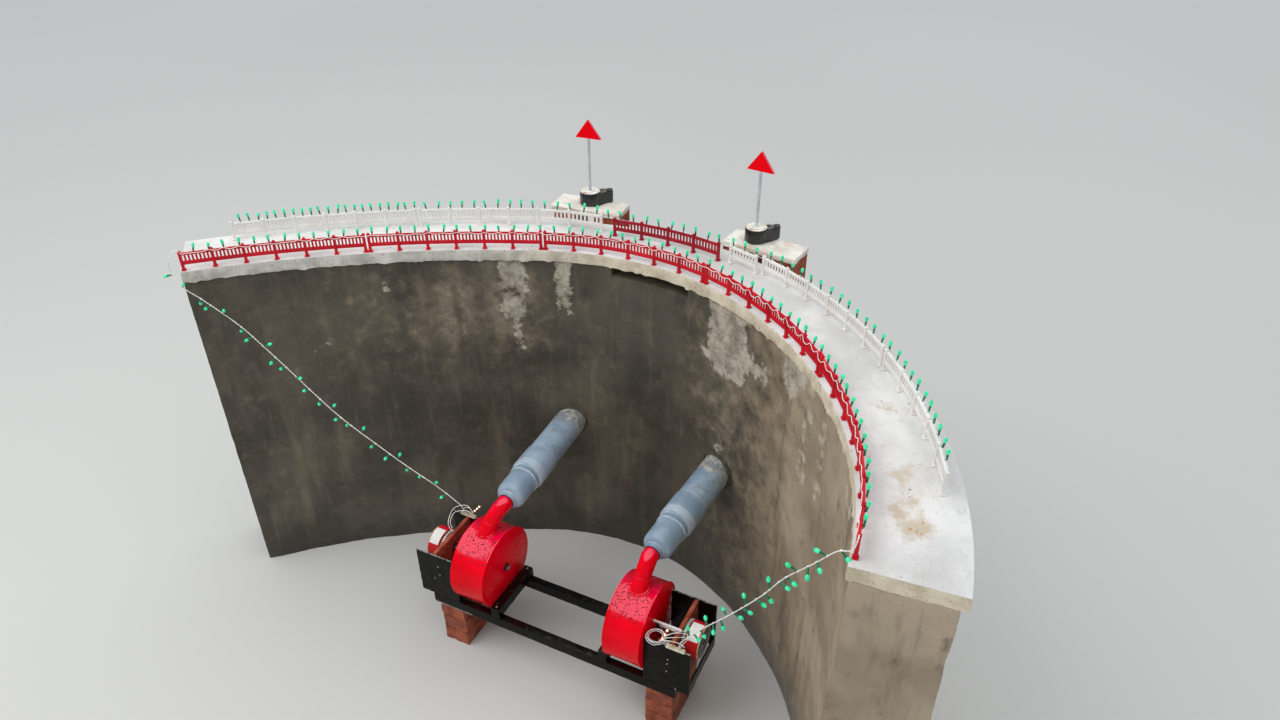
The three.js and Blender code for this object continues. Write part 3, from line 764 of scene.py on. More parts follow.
# Lamps and their wire. A cap's profile has shares of its radius and of its length
STEM_SHARE, CAP_SHARE = 0.56, 0.44
STEM_RADIUS, CAP_RADIUS = 0.0024, 0.005
CAP_PROFILE = ((0.6, -0.04), (0.86, 0.1), (1.0, 0.36), (0.96, 0.6), (0.74, 0.84), (0.34, 1.0))
COLLAR_PROFILE = ((0.0016, -0.003), (0.0026, -0.001), (0.0026, 0.002), (0.0016, 0.003))
SPAN_DIAMETER, SPAN_TWIST, SPAN_STEP = 0.0036, 0.02, 0.0022
SPAN_LAMPS = {"spacing": 0.047, "length": 0.03, "fat": 1.1}
STRING_Z = DECK_TOP + POST["height"] + POST["cap"] + 0.0016
STRIP_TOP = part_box("terminal_strip_left")[1].z + 0.0003
SPANS = {
    "light_span_left": (
        crest_point(0.0057, RED_OFFSET, STRING_Z), crest_point(-0.003, RED_OFFSET, STRING_Z),
        (-1.296, -0.805, 1.302), (-1.296, -0.806, 1.262), (-1.268, -0.802, 1.214),
        (-1.222, -0.78, 1.168), (-1.128, -0.744, 1.076), (-1.061, -0.725, 0.998),
        (-0.985, -0.709, 0.914), (-0.919, -0.694, 0.836), (-0.84, -0.677, 0.753),
        (-0.73, -0.653, 0.662), (-0.63, -0.631, 0.584), (-0.54, -0.611, 0.52),
        (-0.476, -0.598, 0.466), (-0.453, -0.592, 0.44), (-0.452, -0.591, STRIP_TOP),
    ),
    "light_span_right": (
        crest_point(2.9503, RED_OFFSET, STRING_Z), crest_point(2.959, RED_OFFSET, STRING_Z),
        (0.94, -1.088, 1.292), (0.91, -1.068, 1.258), (0.861, -1.036, 1.172),
        (0.787, -0.991, 1.046), (0.737, -0.96, 0.94), (0.666, -0.918, 0.808),
        (0.602, -0.878, 0.694), (0.543, -0.843, 0.593), (0.502, -0.818, 0.516),
        (0.473, -0.803, 0.462), (0.463, -0.799, 0.44), (0.462, -0.799, STRIP_TOP),
    ),
}


def lamp(shape, foot, way, length, fat=1.0):
    """A lamp: a ribbed stem with a clear drop-shaped cap on its end"""
    stem, cap = length * STEM_SHARE, length * CAP_SHARE
    thin, wide = STEM_RADIUS * fat, CAP_RADIUS * fat
    place = along_axis(foot, way)
    shape.turned([(thin * 0.7, -0.001), (thin, 0.001), (thin, stem * 0.6), (thin * 1.25, stem * 0.66),
                  (thin * 1.25, stem)], 9, 1, place)
    shape.turned([(wide * part, stem + cap * rise) for part, rise in CAP_PROFILE], 12, 0, place)


def twisted(shape, path, radius, pitch, sides):
    """Two strands wound round each other along a path"""
    run = 0.0
    strands = ([], [])
    for i, spot in enumerate(path_frames(path)):
        run += (path[i] - path[i - 1]).length if i else 0.0
        for k, strand in enumerate(strands):
            angle = 2 * math.pi * run / pitch + math.pi * k
            strand.append(spot @ Vector((radius * math.cos(angle), radius * math.sin(angle), 0)))
    for strand in strands:
        shape.swept(strand, radius, sides, 2)


def free_span(name, points):
    """A stretch of the light string that hangs between its two ends, with its lamps"""
    path = even_path(smooth_path(points, 600), SPAN_STEP)
    length = sum((b - a).length for a, b in zip(path, path[1:]))
    wire, lamps = Shape(), Shape()
    twisted(wire, path, SPAN_DIAMETER / 4, SPAN_TWIST, 6)
    count = int(length / SPAN_LAMPS["spacing"])
    for i in range(count - 3):
        at = round((i + 2 + RANDOM.uniform(-0.2, 0.2)) / count * (len(path) - 1))
        along = (path[at + 1] - path[at - 1]).normalized()
        sideways = Vector((0, 0, 1)).cross(along).normalized()
        turn = (-1 if i % 3 == 1 else 1) * sideways.cross(along)
        lean, tip = (RANDOM.uniform(-0.6, 0.6) for _ in range(2))
        way = (turn + sideways * lean + along * tip).normalized()
        lamp(lamps, path[at] + way * 0.0015, way, SPAN_LAMPS["length"], SPAN_LAMPS["fat"])
        lamps.turned(COLLAR_PROFILE, 8, 2, along_axis(path[at], along))
    bulbs = piece(name + "_lamps", lamps, (LAMP, STEM, WIRE))
    made = finish(name, wire, (LAMP, STEM, WIRE))


for span_name, span_points in SPANS.items():
    free_span(span_name, span_points)


# Bodies that follow the crest
def crest_body(stations, tops, low, high, bottom, across, tall, radius, relief):
    """A rounded body along the crest, with its faces moved outward by relief. Returns its
    points, its faces, and which faces lie level"""
    cells, faces = lattice(len(stations) - 1, across, tall)
    parts = np.array(cells)
    steps = parts[:, 0] * (len(stations) - 1)
    s, top = (np.interp(steps, range(len(stations)), values) for values in (stations, tops))
    offset = low + (high - low) * parts[:, 1]
    z = bottom + (top - bottom) * parts[:, 2]
    core = np.clip(offset, low + radius, high - radius), np.clip(z, bottom + radius, top - radius)
    away = np.stack([offset - core[0], z - core[1]], axis=1)
    reach = np.hypot(away[:, 0], away[:, 1])
    out = away / np.maximum(reach, 1e-9)[:, None]
    rise = np.array([relief(*place) for place in zip(s, z, parts[:, 1], parts[:, 2])])
    move = np.where(reach > 1e-7, np.minimum(reach, radius) + rise, 0.0)
    offset, z = core[0] + out[:, 0] * move, np.clip(core[1] + out[:, 1] * move, 0.0, None)
    points = [crest_point(*place) for place in zip(s, offset, z)]
    level = [np.ptp(parts[face, 2]) == 0 for face in faces]
    return points, faces, level


def paint_crest(made, stains):
    """Gives a mesh its crest coordinates and stain amounts"""
    points = mesh_points(made)
    s, offset = crest_lengths(points)
    mark(made, crest=np.stack([s, offset, points[:, 2]], axis=1), stains=stains(s, offset, points[:, 2]))


def smooth_step(value, low, high):
    """From 0 at low to 1 at high, level at both ends"""
    part = np.clip((value - low) / (high - low), 0.0, 1.0)
    return part * part * (3 - 2 * part)


def soft_box(s, z, patch):
    """The strength of a patch inside it, falling to 0 over its soft edge"""
    left, right, low, high, soft, strength = patch
    for value, edge in ((s, left), (-s, -right), (z, low), (-z, -high)):
        strength = strength * smooth_step(value, edge - soft, edge + soft)
    return strength


# Patches on the wall: from s, to s, from z, to z, soft edge, strength. Dry chalk first
DRY_PATCHES = (
    (0.985, 1.08, 0.99, 1.3, 0.03, 0.92), (1.02, 1.06, 0.86, 1.02, 0.026, 0.8),
    (1.175, 1.235, 1.02, 1.3, 0.03, 0.9), (1.735, 1.92, 0.97, 1.3, 0.045, 1.0),
    (1.88, 2.06, 1.03, 1.13, 0.05, 0.76), (2.09, 2.23, 1.08, 1.3, 0.05, 0.8),
    (2.23, 2.29, 0.86, 1.22, 0.04, 0.72), (2.345, 2.405, 0.9, 1.2, 0.04, 0.7),
    (2.56, 2.72, 1.04, 1.3, 0.06, 0.55), (2.02, 2.1, 0.7, 0.9, 0.06, 0.36),
    (0.59, 0.65, 1.08, 1.15, 0.035, 0.52), (0.61, 0.65, 0.93, 0.985, 0.03, 0.48),
    (0.3, 0.42, 0.84, 0.98, 0.06, 0.36),
)
# Lighter, drier stretches, and the wet one under the spillway
LIGHT_PATCHES = (
    (0.76, 0.9, 0.9, 1.18, 0.07, 0.34), (0.48, 1.16, 0.84, 1.2, 0.16, 0.17),
    (0.92, 1.12, 0.86, 1.22, 0.07, 0.28), (1.7, 2.1, 0.7, 1.2, 0.15, 0.3),
)
SPILL_SOAK = (1.4, 1.63, 0.0, 1.16, 0.07, 0.62)
# Yellow dirt on the road, in the same order with an offset for z
ROAD_DIRT = ((2.62, 2.86, 0.06, 0.17, 0.05, 0.75), (2.36, 2.52, 0.1, 0.18, 0.05, 0.55))
# Round marks by the right penstock's mouth: away along the wall and up, size and strength
DRY_SMEAR, WET_SMEAR = (-0.01, 0.105, 0.06, 0.5), (0.055, -0.075, 0.085, 0.95)
FRONT_DEPTH = 0.06
PALE_FROM, PALE_TO = 1.65, 2.35
SPILLWAY_CLEAR, DRILL_CLEAR = 0.0008, 0.0008
# Points along each run of the wall, and cells across and up; the same for the deck
WALL_RUNS, WALL_CELLS, WALL_ROUND = (115, 25, 111), (10, 92), 0.004
DECK_RUN, DECK_CELLS, DECK_ROUND = 330, (26, 5), 0.003
TOP_SKIN = 0.0025


def strongest(s, across, patches):
    """The greatest strength of any of the patches"""
    return np.max([soft_box(s, across, patch) for patch in patches], axis=0)


def smear(s, z, along, rise, size, strength):
    """The strength of a round mark by the right penstock's mouth"""
    mouth = MOUTHS["right"]
    away = np.hypot(s - crest_at(mouth)[0] - along, (z - mouth.z - rise) * 0.8)
    return strength * smooth_step(-away, -size, -size * 0.3)


def wall_stains(s, offset, z):
    """Amounts of dry chalk, light tone and soaking at each point of the wall"""
    front = (offset < FRONT_DEPTH).astype(float)
    dry = np.maximum(strongest(s, z, DRY_PATCHES), smear(s, z, *DRY_SMEAR))
    wet = np.maximum(soft_box(s, z, SPILL_SOAK), smear(s, z, *WET_SMEAR))
    light = np.maximum(strongest(s, z, LIGHT_PATCHES) * front, smooth_step(s, PALE_FROM, PALE_TO))
    foot = 0.8 * smooth_step(-z, -0.3, -0.02)
    return np.stack([dry * front, light, np.maximum(wet * front, foot)], axis=1)


def deck_stains(s, offset, z):
    """The amount of dirt at each point of the deck"""
    edge = 0.4 * smooth_step(-offset, -0.03, -0.002)
    return np.stack([np.maximum(strongest(s, offset, ROAD_DIRT), edge), z * 0, z * 0], axis=1)


def wall_relief(s, z, across, tall):
    """Trowelled waves, with rubble showing at the left end, all flatter toward the top"""
    spot = Vector((s, across * 3.0, z))
    value = 0.006 * ripple(spot, 4.0, fade=1.0, octaves=3) + 0.0024 * ripple(spot, 15.0, (5, 2, 8))
    rubble = max(0.0, (0.45 - s) / 0.45) if across < 0.5 else 0.0
    value += 0.008 * rubble * ripple(spot, 17.0, (1, 9, 3), 0.8, gap=2.1)
    return value * min(1.0, 12 * (1 - tall) + 0.15)


def deck_relief(s, z, across, tall):
    """Smooth above, rough at the sides, and drips along the lower edge"""
    spot = Vector((s, across * DECK_WIDTH, z))
    if tall > 0.999:
        return 0.0006 * ripple(spot, 9.0, fade=1.0, octaves=3) - 0.0004
    drip = max(0.0, ripple(spot, 34.0, (7, 7, 2), octaves=3))
    lumps = 0.0016 * ripple(spot, 26.0, (3, 1, 4), 0.8)
    return lumps + max(0.0, 1 - 2.5 * tall) * (0.0075 * drip - 0.001)


def dam_wall():
    """The wall: one rendered body with the spillway's notch and two pipe holes"""
    wall_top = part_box("dam_wall_1")[1].z
    left, right = SPILLWAY
    runs = ((0.0, left, wall_top), (left + SPILLWAY_CLEAR, right - SPILLWAY_CLEAR, SPILLWAY_SILL),
            (right, CREST_LENGTH, wall_top))
    stations = np.concatenate([np.linspace(a, b, count) for (a, b, _), count in zip(runs, WALL_RUNS)])
    tops = np.repeat([top for _, _, top in runs], WALL_RUNS)
    points, faces, _ = crest_body(stations, tops, WALL_FACE, WALL_BACK, 0.0, *WALL_CELLS, WALL_ROUND,
                                  wall_relief)
    shape = Shape()
    shape.add(points, faces)
    made = mesh_object("dam_wall", shape, (RENDER,), 60)
    cut(made, [plug(PIPE_RADIUS + DRILL_CLEAR, 0.3, 0.9, 48, penstock_place(name)) for name, _ in SIDES])
    paint_crest(made, wall_stains)
    settle(made, replaces=[f"dam_wall_{i}" for i in range(1, 8)])


def crest_deck():
    """The road slab on top of the wall"""
    stations, tops = np.linspace(0.0, CREST_LENGTH, DECK_RUN), np.full(DECK_RUN, DECK_TOP)
    points, faces, level = crest_body(stations, tops, 0.0, DECK_WIDTH, DECK_UNDER, *DECK_CELLS, DECK_ROUND,
                                      deck_relief)
    shape = Shape()
    shape.add(points, faces)
    shape.paints = [0 if flat and points[face[0]].z > DECK_TOP - TOP_SKIN else 1
                    for face, flat in zip(faces, level)]
    made = mesh_object("crest_deck", shape, (DECK, DECK_EDGE), 50)
    paint_crest(made, deck_stains)
    settle(made, replaces=[f"crest_deck_{i}" for i in range(1, 5)])


dam_wall()
crest_deck()


# Fences
WIRE_CLEAR, LAMP_CLEAR, LAMP_LENGTH = 0.0024, 0.003, 0.0325
STRING_RADIUS, STRING_TWIST, STRING_STEP = 0.0007, 0.012, 0.0024


def fence_post(shape, s, offset):
    """A square post on a flat foot, under a pointed cap"""
    place = crest_place(s, offset, DECK_TOP)
    half, foot, top = POST["size"] / 2, POST["foot"] / 2, POST["height"]
    brim = half + 0.0008
    shape.block((-foot, -foot, 0), (foot, foot, POST["foot_height"]), 0.0008, 0, place)
    shape.block((-half, -half, POST["foot_height"] - 0.0002), (half, half, top - 0.002), 0.0006, 0, place)
    shape.loops([square(half, top - 0.0021), square(brim, top - 0.0012), square(brim, top + 0.0004),
                 square(0.0007, top + POST["cap"])], 0, place)


def fence_bay(shape, start, end):
    """Two ribbed rails between neighbouring posts, and the balusters between the rails"""
    chord = end - start
    place = Matrix.Translation(start) @ Matrix.Rotation(math.atan2(chord.y, chord.x), 4, "Z")

    def bar(x0, x1, half, low, high, bevel):
        shape.block((x0, -half, low), (x1, half, high), bevel, 0, place)

    half, reach = RAIL_DEPTH / 2, POST["size"] / 2 - 0.001
    for low, high in (LOW_RAIL, HIGH_RAIL):
        rib = (low + high) / 2
        bar(reach, chord.length - reach, half, low, high, 0.0007)
        bar(reach, chord.length - reach, half + 0.0006, rib - 0.0012, rib + 0.0012, 0.0005)
    width = (chord.length - POST["size"]) / (2 * BALUSTERS + 1)
    for i in range(BALUSTERS):
        x = POST["size"] / 2 + width * (1 + 2 * i)
        bar(x, x + width, 0.0019, LOW_RAIL[1] - 0.001, HIGH_RAIL[0] + 0.001, 0.0006)


def fence(name, start, bays, bay, offset_at, material):
    """A panel of equal bays that starts at a station on the crest"""
    shape = Shape()
    stations = [start + i * bay for i in range(bays + 1)]
    feet = [crest_point(s, offset_at(s), DECK_TOP) for s in stations]
    for s in stations:
        fence_post(shape, s, offset_at(s))
    for a, b in zip(feet, feet[1:]):
        fence_bay(shape, a, b)
    finish(name, shape, (material,), smooth=30)


def red_offset(_):
    """How far upstream of the crest line the red fence stands, the same at each station"""
    return RED_OFFSET


def fences():
    """The red panels downstream, and the white and dark red ones upstream"""
    start = RED_START
    for i, bays in enumerate(RED_BAYS):
        bay = (bays * BAY - POST_CLEAR) / bays
        fence(f"fence_red_{i + 1}", start, bays, bay, red_offset, RED_PLASTIC)
        start += bays * BAY
    for name, start, bays, bay in UPSTREAM_FENCES:
        material, slot = WHITE_PLASTIC, "white_plastic"
        if name == "fence_dark_red":
            material, slot = DARK_RED_PLASTIC, "dark_red_plastic"
        fence(name, start, bays, bay, upstream_offset, material)


def lamp_stations(ends, pitches):
    """Even spacing near a pitch between each two neighbouring ends"""
    stations = [ends[0]]
    for a, b, pitch in zip(ends, ends[1:], pitches):
        count = round((b - a) / pitch)
        stations += [a + (b - a) * k / count for k in range(1, count + 1)]
    return stations


def fence_string(name, stations, offset_at, foot, wire_side, sags):
    """A light string laced along a fence: the wire dips between the lamps on one side of the
    fence, and the lamps stand behind its top rail"""
    shape = Shape()
    front, behind = wire_side * (RAIL_DEPTH / 2 + WIRE_CLEAR), RAIL_DEPTH / 2 + LAMP_CLEAR
    rail_top = DECK_TOP + HIGH_RAIL[1]
    route = [crest_point(stations[0], offset_at(stations[0]), STRING_Z)]
    for s, ahead in zip(stations, stations[1:]):
        if s != stations[0]:
            high = rail_top + RANDOM.uniform(-0.003, 0.002)
            route.append(crest_point(s, offset_at(s) + front, high))
            place = crest_place(s, offset_at(s) + behind, DECK_TOP + foot)
            way = Vector((RANDOM.uniform(-0.22, 0.22), RANDOM.uniform(-0.04, 0.16), 1)).normalized()
            length = LAMP_LENGTH * RANDOM.uniform(0.86, 1.06)
            lamp(shape, place.translation, place.to_3x3() @ way, length)
        dip = float(np.interp(s, *zip(*sags))) * RANDOM.uniform(0.5, 1.3)
        for share in (0.3, 0.62):
            at = s + (ahead - s) * share
            offset = offset_at(at) + front * RANDOM.uniform(1.0, 1.4)
            route.append(crest_point(at, offset, rail_top - dip))
    route.append(crest_point(stations[-1], offset_at(stations[-1]), STRING_Z))
    path = even_path(smooth_path(route, len(stations) * 18), STRING_STEP)
    twisted(shape, path, STRING_RADIUS, STRING_TWIST, 5)
    finish(name, shape, (LAMP, STEM, WIRE))


fences()
fence_string("light_string_downstream", lamp_stations((0.006, 2.95), (0.045,)), red_offset, 0.052, -1,
             ((0.0, 0.003), (1.7, 0.005), (2.1, 0.012), (CREST_LENGTH, 0.01)))
fence_string("light_string_upstream", lamp_stations((0.15, 0.706, 2.72), (0.026, 0.038)),
             upstream_offset, 0.057, 1, ((0.0, 0.004), (CREST_LENGTH, 0.006)))


# Intake towers. The gate motor's cup and its tail stand off the middle of the slab
TOWER_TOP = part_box("tower_slab_left")[1].z
SLAB_LENGTH, SLAB_DEPTH, SLAB_THICK = 0.266, 0.112, 0.022
PIER_WIDTH, PIER_INSET = 0.1, 0.004
PIER_COURSES, PIER_JOINT, JOINT_INSET, JOINT_BITE = 6, 0.01, 0.0008, 0.002
RIB_PITCH, RIB_GROOVE = 0.0125, 0.0022
RIB_PROFILE = ((0.04, 0.0), (0.3, 0.0), (0.38, RIB_GROOVE), (0.88, RIB_GROOVE))
TOWERS = {
    "left": {"at": (-0.3425, 0.1905), "turn": 5.0, "motor": (-0.004, 0.008), "tail_turn": 35.0},
    "right": {"at": (0.3244, 0.158), "turn": -7.3, "motor": (-0.039, 0.006), "tail_turn": 46.0},
}

# Gate motor. Body and cup: inset and height. Filler: share of the radius and height over the
# rim. Rust: degrees, reach and size. Fittings on the tail: x, y, width and height
MOTOR_RADIUS, MOTOR_HEIGHT = 0.037, 0.046
TAIL_AWAY, TAIL_RADIUS, TAIL_HEIGHT = 0.07, 0.013, 0.04
MOTOR_BODY = ((0.0012, 0.0), (0.0, 0.0012), (0.0, 0.016), (0.0008, 0.0166), (0.0008, 0.0178),
              (0.0, 0.0184), (0.0, TAIL_HEIGHT - 0.002), (0.0016, TAIL_HEIGHT))
MOTOR_CUP = ((0.001, 0.0), (0.0, 0.001), (0.0, 0.014), (0.0008, 0.0148), (0.0008, 0.0162), (0.0, 0.017),
             (0.0, MOTOR_HEIGHT - 0.0016), (0.001, MOTOR_HEIGHT), (0.0036, MOTOR_HEIGHT),
             (0.0042, MOTOR_HEIGHT - 0.0014))
MOTOR_FILLER = ((0.9, -0.003), (0.95, 0.0004), (0.88, 0.0016), (0.6, 0.0022), (0.3, 0.0026))
RUST_SPOTS = ((214, 0.029, 0.0042), (228, 0.028, 0.0036), (242, 0.029, 0.003),
              (200, 0.03, 0.0028), (256, 0.026, 0.0022), (318, 0.03, 0.0024))
TAIL_LID = ((0.04, 0, TAIL_RADIUS + 0.005), (TAIL_AWAY - 0.014, 0, TAIL_RADIUS - 0.002))
TAIL_FITTINGS = ((0.047, 0.007, 0.012, 0.007), (0.052, -0.008, 0.008, 0.0056), (0.06, 0.004, 0.007, 0.006))
CUP_RIVETS = (210, 250, 300, 20, 130)

# Level sign: a rod with a foot, and a triangle with rounded corners
ROD_RADIUS, ROD_HEIGHT = 0.005, 0.198
ROD_FOOT = ((0.0078, 0.0), (0.0082, 0.0018), (0.006, 0.0034), (ROD_RADIUS, 0.0052))
SIGN_WIDTH, SIGN_HEIGHT, SIGN_THICK, SIGN_OVERLAP = 0.095, 0.065, 0.01, 0.006


def turned_place(x, y, z, degrees):
    """A place turned about Z"""
    return Matrix.Translation((x, y, z)) @ Matrix.Rotation(math.radians(degrees), 4, "Z")


def ribbed_loop(low, high, z, wave):
    """A hollow brick's outline with shallow grooves all round, at a height z"""
    loop = []
    corners = [(low[0], low[1]), (high[0], low[1]), (high[0], high[1]), (low[0], high[1])]
    for i, (x, y) in enumerate(corners):
        nx, ny = corners[(i + 1) % 4]
        length = math.hypot(nx - x, ny - y)
        ux, uy = (nx - x) / length, (ny - y) / length
        count = int(length / RIB_PITCH)
        for k in range(count):
            for part, depth in RIB_PROFILE:
                at, deep = (k + part) * length / count, depth + wave
                loop.append((x + ux * at - uy * deep, y + uy * at + ux * deep, z))
    return loop


def tower_pier(node, end, place):
    """Courses of ribbed hollow brick with mortar between"""
    outer = end * (SLAB_LENGTH / 2 - PIER_INSET)
    x0, x1 = sorted((outer - end * PIER_WIDTH, outer))
    half = SLAB_DEPTH / 2 - PIER_INSET
    tall = (TOWER_TOP - SLAB_THICK - (PIER_COURSES - 1) * PIER_JOINT) / PIER_COURSES
    shape = Shape()
    for k in range(PIER_COURSES):
        low, shift = k * (tall + PIER_JOINT), RANDOM.uniform(0.0, 0.0012)
        waves = ((low, 0.0006), (low + 0.0012, 0.0), (low + tall - 0.0012, 0.0), (low + tall, 0.0006))
        shape.loops([ribbed_loop((x0 + shift, -half), (x1, half - shift), z, wave) for z, wave in waves],
                    0, place)
        if k < PIER_COURSES - 1:
            shape.rough((x0 + JOINT_INSET, -half + JOINT_INSET, low + tall - JOINT_BITE),
                        (x1 - JOINT_INSET, half - JOINT_INSET, low + tall + PIER_JOINT + JOINT_BITE),
                        cell=0.009, radius=0.003, lumps=0.0022, paint=1, place=place, scale=60.0, seed=k)
    finish(node, shape, (HOLLOW_BRICK, MORTAR), smooth=30)


def tangent_loop(circles, inset, z, count=64):
    """The taut outline round two or more circles, drawn in by inset, at a height z"""
    loop = []
    for ux, uy, _ in circle(1.0, count):
        x, y, radius = max(circles, key=lambda c: c[0] * ux + c[1] * uy + c[2])
        loop.append((x + (radius - inset) * ux, y + (radius - inset) * uy, z))
    return loop


def bolt(shape, place, radius, height, paint):
    """A hexagon head on a washer"""
    shape.turned([(radius * 1.7, 0), (radius * 1.7, height * 0.25)], 16, paint, place)
    shape.turned([(radius * 1.15, height * 0.2), (radius * 1.15, height * 0.85), (radius * 0.95, height)],
                 6, paint, place)


def rivet(shape, place, radius, paint):
    """A domed rivet head"""
    shape.turned([(radius, -radius * 0.3), (radius, 0), (radius * 0.95, radius * 0.2),
                  (radius * 0.7, radius * 0.5), (radius * 0.3, radius * 0.66)], 12, paint, place)


def motor_filler(shape, place):
    """The lumpy white filler that domes up inside the cup's rim"""
    crust = []
    for reach, height in MOTOR_FILLER:
        loop = []
        for x, y, _ in circle(1.0, 56):
            lump = noise.noise(Vector((x * 4, y * 4, reach * 3)))
            wide = MOTOR_RADIUS * (reach + 0.05 * lump)
            loop.append((wide * x, wide * y, MOTOR_HEIGHT + height + 0.0006 * lump))
        crust.append(loop)
    shape.loops(crust, 1, place)


def gate_motor(node, place):
    """A geared motor: a black cup with a filled top, and a tail with its cover plate"""
    shape = Shape()
    circles = ((0, 0, MOTOR_RADIUS - 0.002), (TAIL_AWAY, 0, TAIL_RADIUS))
    shape.loops([tangent_loop(circles, inset, z) for inset, z in MOTOR_BODY], 0, place)
    shape.turned([(MOTOR_RADIUS - inset, z) for inset, z in MOTOR_CUP], 64, 0, place)
    motor_filler(shape, place)
    for angle, reach, size in RUST_SPOTS:
        spot = spoke(place, math.radians(angle), reach, MOTOR_HEIGHT + 0.0012)
        shape.turned([(size, 0), (size * 0.8, 0.001)], 12, 2, spot)
    shape.loops([tangent_loop(TAIL_LID, inset, TAIL_HEIGHT + z, 40) for inset, z in
                 ((0.0, -0.0005), (0.0, 0.002), (0.0012, 0.0028))], 3, place)
    for x, y, wide, tall in TAIL_FITTINGS:
        shape.block((x - wide / 2, y - 0.0034, TAIL_HEIGHT), (x + wide / 2, y + 0.0034, TAIL_HEIGHT + tall),
                    0.0006, 4, place)
    post = TAIL_RADIUS - 0.001
    shape.turned([(post, TAIL_HEIGHT - 0.004), (post, TAIL_HEIGHT + 0.005),
                  (TAIL_RADIUS - 0.003, TAIL_HEIGHT + 0.0058)], 32, 0, spoke(place, 0, TAIL_AWAY))
    for angle in CUP_RIVETS:
        spot = spoke(place, math.radians(angle), MOTOR_RADIUS - 0.0002, 0.026)
        rivet(shape, spot @ Matrix.Rotation(math.radians(90), 4, "Y"), 0.0021, 3)
    finish(node, shape, (MOTOR_BLACK, FILLER, RUST_SPOT, WET_STEEL, SAWN))


def level_sign(node, place):
    """A red wooden triangle on a white rod that stands on the gate motor"""
    shape = Shape()
    shape.turned([*ROD_FOOT, (ROD_RADIUS, ROD_HEIGHT - 0.001), (ROD_RADIUS - 0.001, ROD_HEIGHT)],
                 24, 0, place)
    low = ROD_HEIGHT - SIGN_OVERLAP
    corners = [Vector((x, 0, low + rise)) for x, rise in
               ((-SIGN_WIDTH / 2, 0), (SIGN_WIDTH / 2, 0), (0, SIGN_HEIGHT))]
    middle = sum(corners, Vector()) / 3

    def rounded(shrink, y):
        loop = []
        for i, corner in enumerate(corners):
            for toward, part in ((corners[i - 1], 0.045), (middle, 0.018), (corners[(i + 1) % 3], 0.045)):
                point = corner.lerp(toward, part).lerp(middle, shrink)
                loop.append((point.x, y, point.z))
        return loop

    deep = SIGN_THICK / 2
    for paint, *rims in ((1, (0.014, -deep), (0.0, -deep + 0.0006)),
                         (2, (0.0, -deep + 0.0005), (0.0, deep - 0.0005)),
                         (1, (0.0, deep - 0.0006), (0.014, deep))):
        shape.loops([rounded(shrink, y) for shrink, y in rims], paint, place)
    finish(node, shape, (ROD, SIGN_RED, SIGN_EDGE), smooth=25)


def tower(name, at, turn, motor, tail_turn):
    """A slab on two piers, with the gate motor and the level sign on it"""
    place = turned_place(*at, 0, turn)
    slab = Shape()
    slab.rough((-SLAB_LENGTH / 2, -SLAB_DEPTH / 2, TOWER_TOP - SLAB_THICK),
               (SLAB_LENGTH / 2, SLAB_DEPTH / 2, TOWER_TOP),
               cell=0.0042, radius=0.0046, lumps=0.003, place=place, scale=26.0, seed=turn)
    finish(f"tower_slab_{name}", slab, (CEMENT,), smooth=60)
    for end, label in ((-1, "a"), (1, "b")):
        tower_pier(f"tower_pier_{name}_{label}", end, place)
    gate_motor(f"gate_motor_{name}", place @ turned_place(*motor, TOWER_TOP, tail_turn))
    level_sign(f"level_sign_{name}", place @ Matrix.Translation((*motor, TOWER_TOP + MOTOR_HEIGHT)))


for tower_name, values in TOWERS.items():
    tower(tower_name, **values)


# Penstocks: radius and distance from the inlet joint, outside and then back inside. A glue
# bead has its radius, its distance and its thickness
PIPE_OUTSIDE = (
    (0.029, 0), (0.03, 0.001), (0.03, 0.015), (0.0306, 0.0162), (0.033, 0.0174),
    (0.0372, 0.0186), (0.041, 0.0202), (0.0443, 0.023), (0.047, 0.027), (0.0489, 0.0322),
    (0.05, 0.0385), (0.05, 0.111), (0.0514, 0.113), (0.052, 0.115), (0.0519, 0.1174),
    (0.0511, 0.119), (0.051, 0.1395), (0.053, 0.1402), (0.0565, 0.1412), (0.0576, 0.144),
    (0.0585, 0.15), (0.0585, 0.24), (0.058, 0.2424), (0.0553, 0.2446), (0.055, 0.247),
)
PIPE_INSIDE = ((PIPE_BORE, 0.19), (0.045, 0.19), (0.045, 0.044), (0.025, 0.022), (0.025, 0.0))
PIPE_FACETS, WALL_STEPS = 80, 24
GLUE_BEADS = ((0.0512, 0.1165, 0.0018), (0.0512, 0.1392, 0.001), (0.0553, 0.245, 0.0012),
              (0.0302, 0.0158, 0.0008))
COLLAR_RINGS, COLLAR_FACETS, COLLAR_BITE = 6, 60, 0.01
COLLAR_REACH, COLLAR_UNEVEN, COLLAR_RISE = 0.009, 0.008, 0.008


def bead(shape, place, radius, fat, seed, paint, count=72, sides=6):
    """An uneven ring of glue or weld round an axis"""
    ring = []
    for x, y, _ in circle(radius, count):
        spot = Vector((x, y, radius)) * 70 + Vector((seed, 0, 0))
        ring.append(place @ Vector((x, y, 0.0008 * noise.noise(spot))))

    def thickness(k):
        return fat * (1 + 0.6 * noise.noise(Vector((k * 0.5, fat * 900, seed))))

    shape.swept(ring, thickness, sides, paint, True)


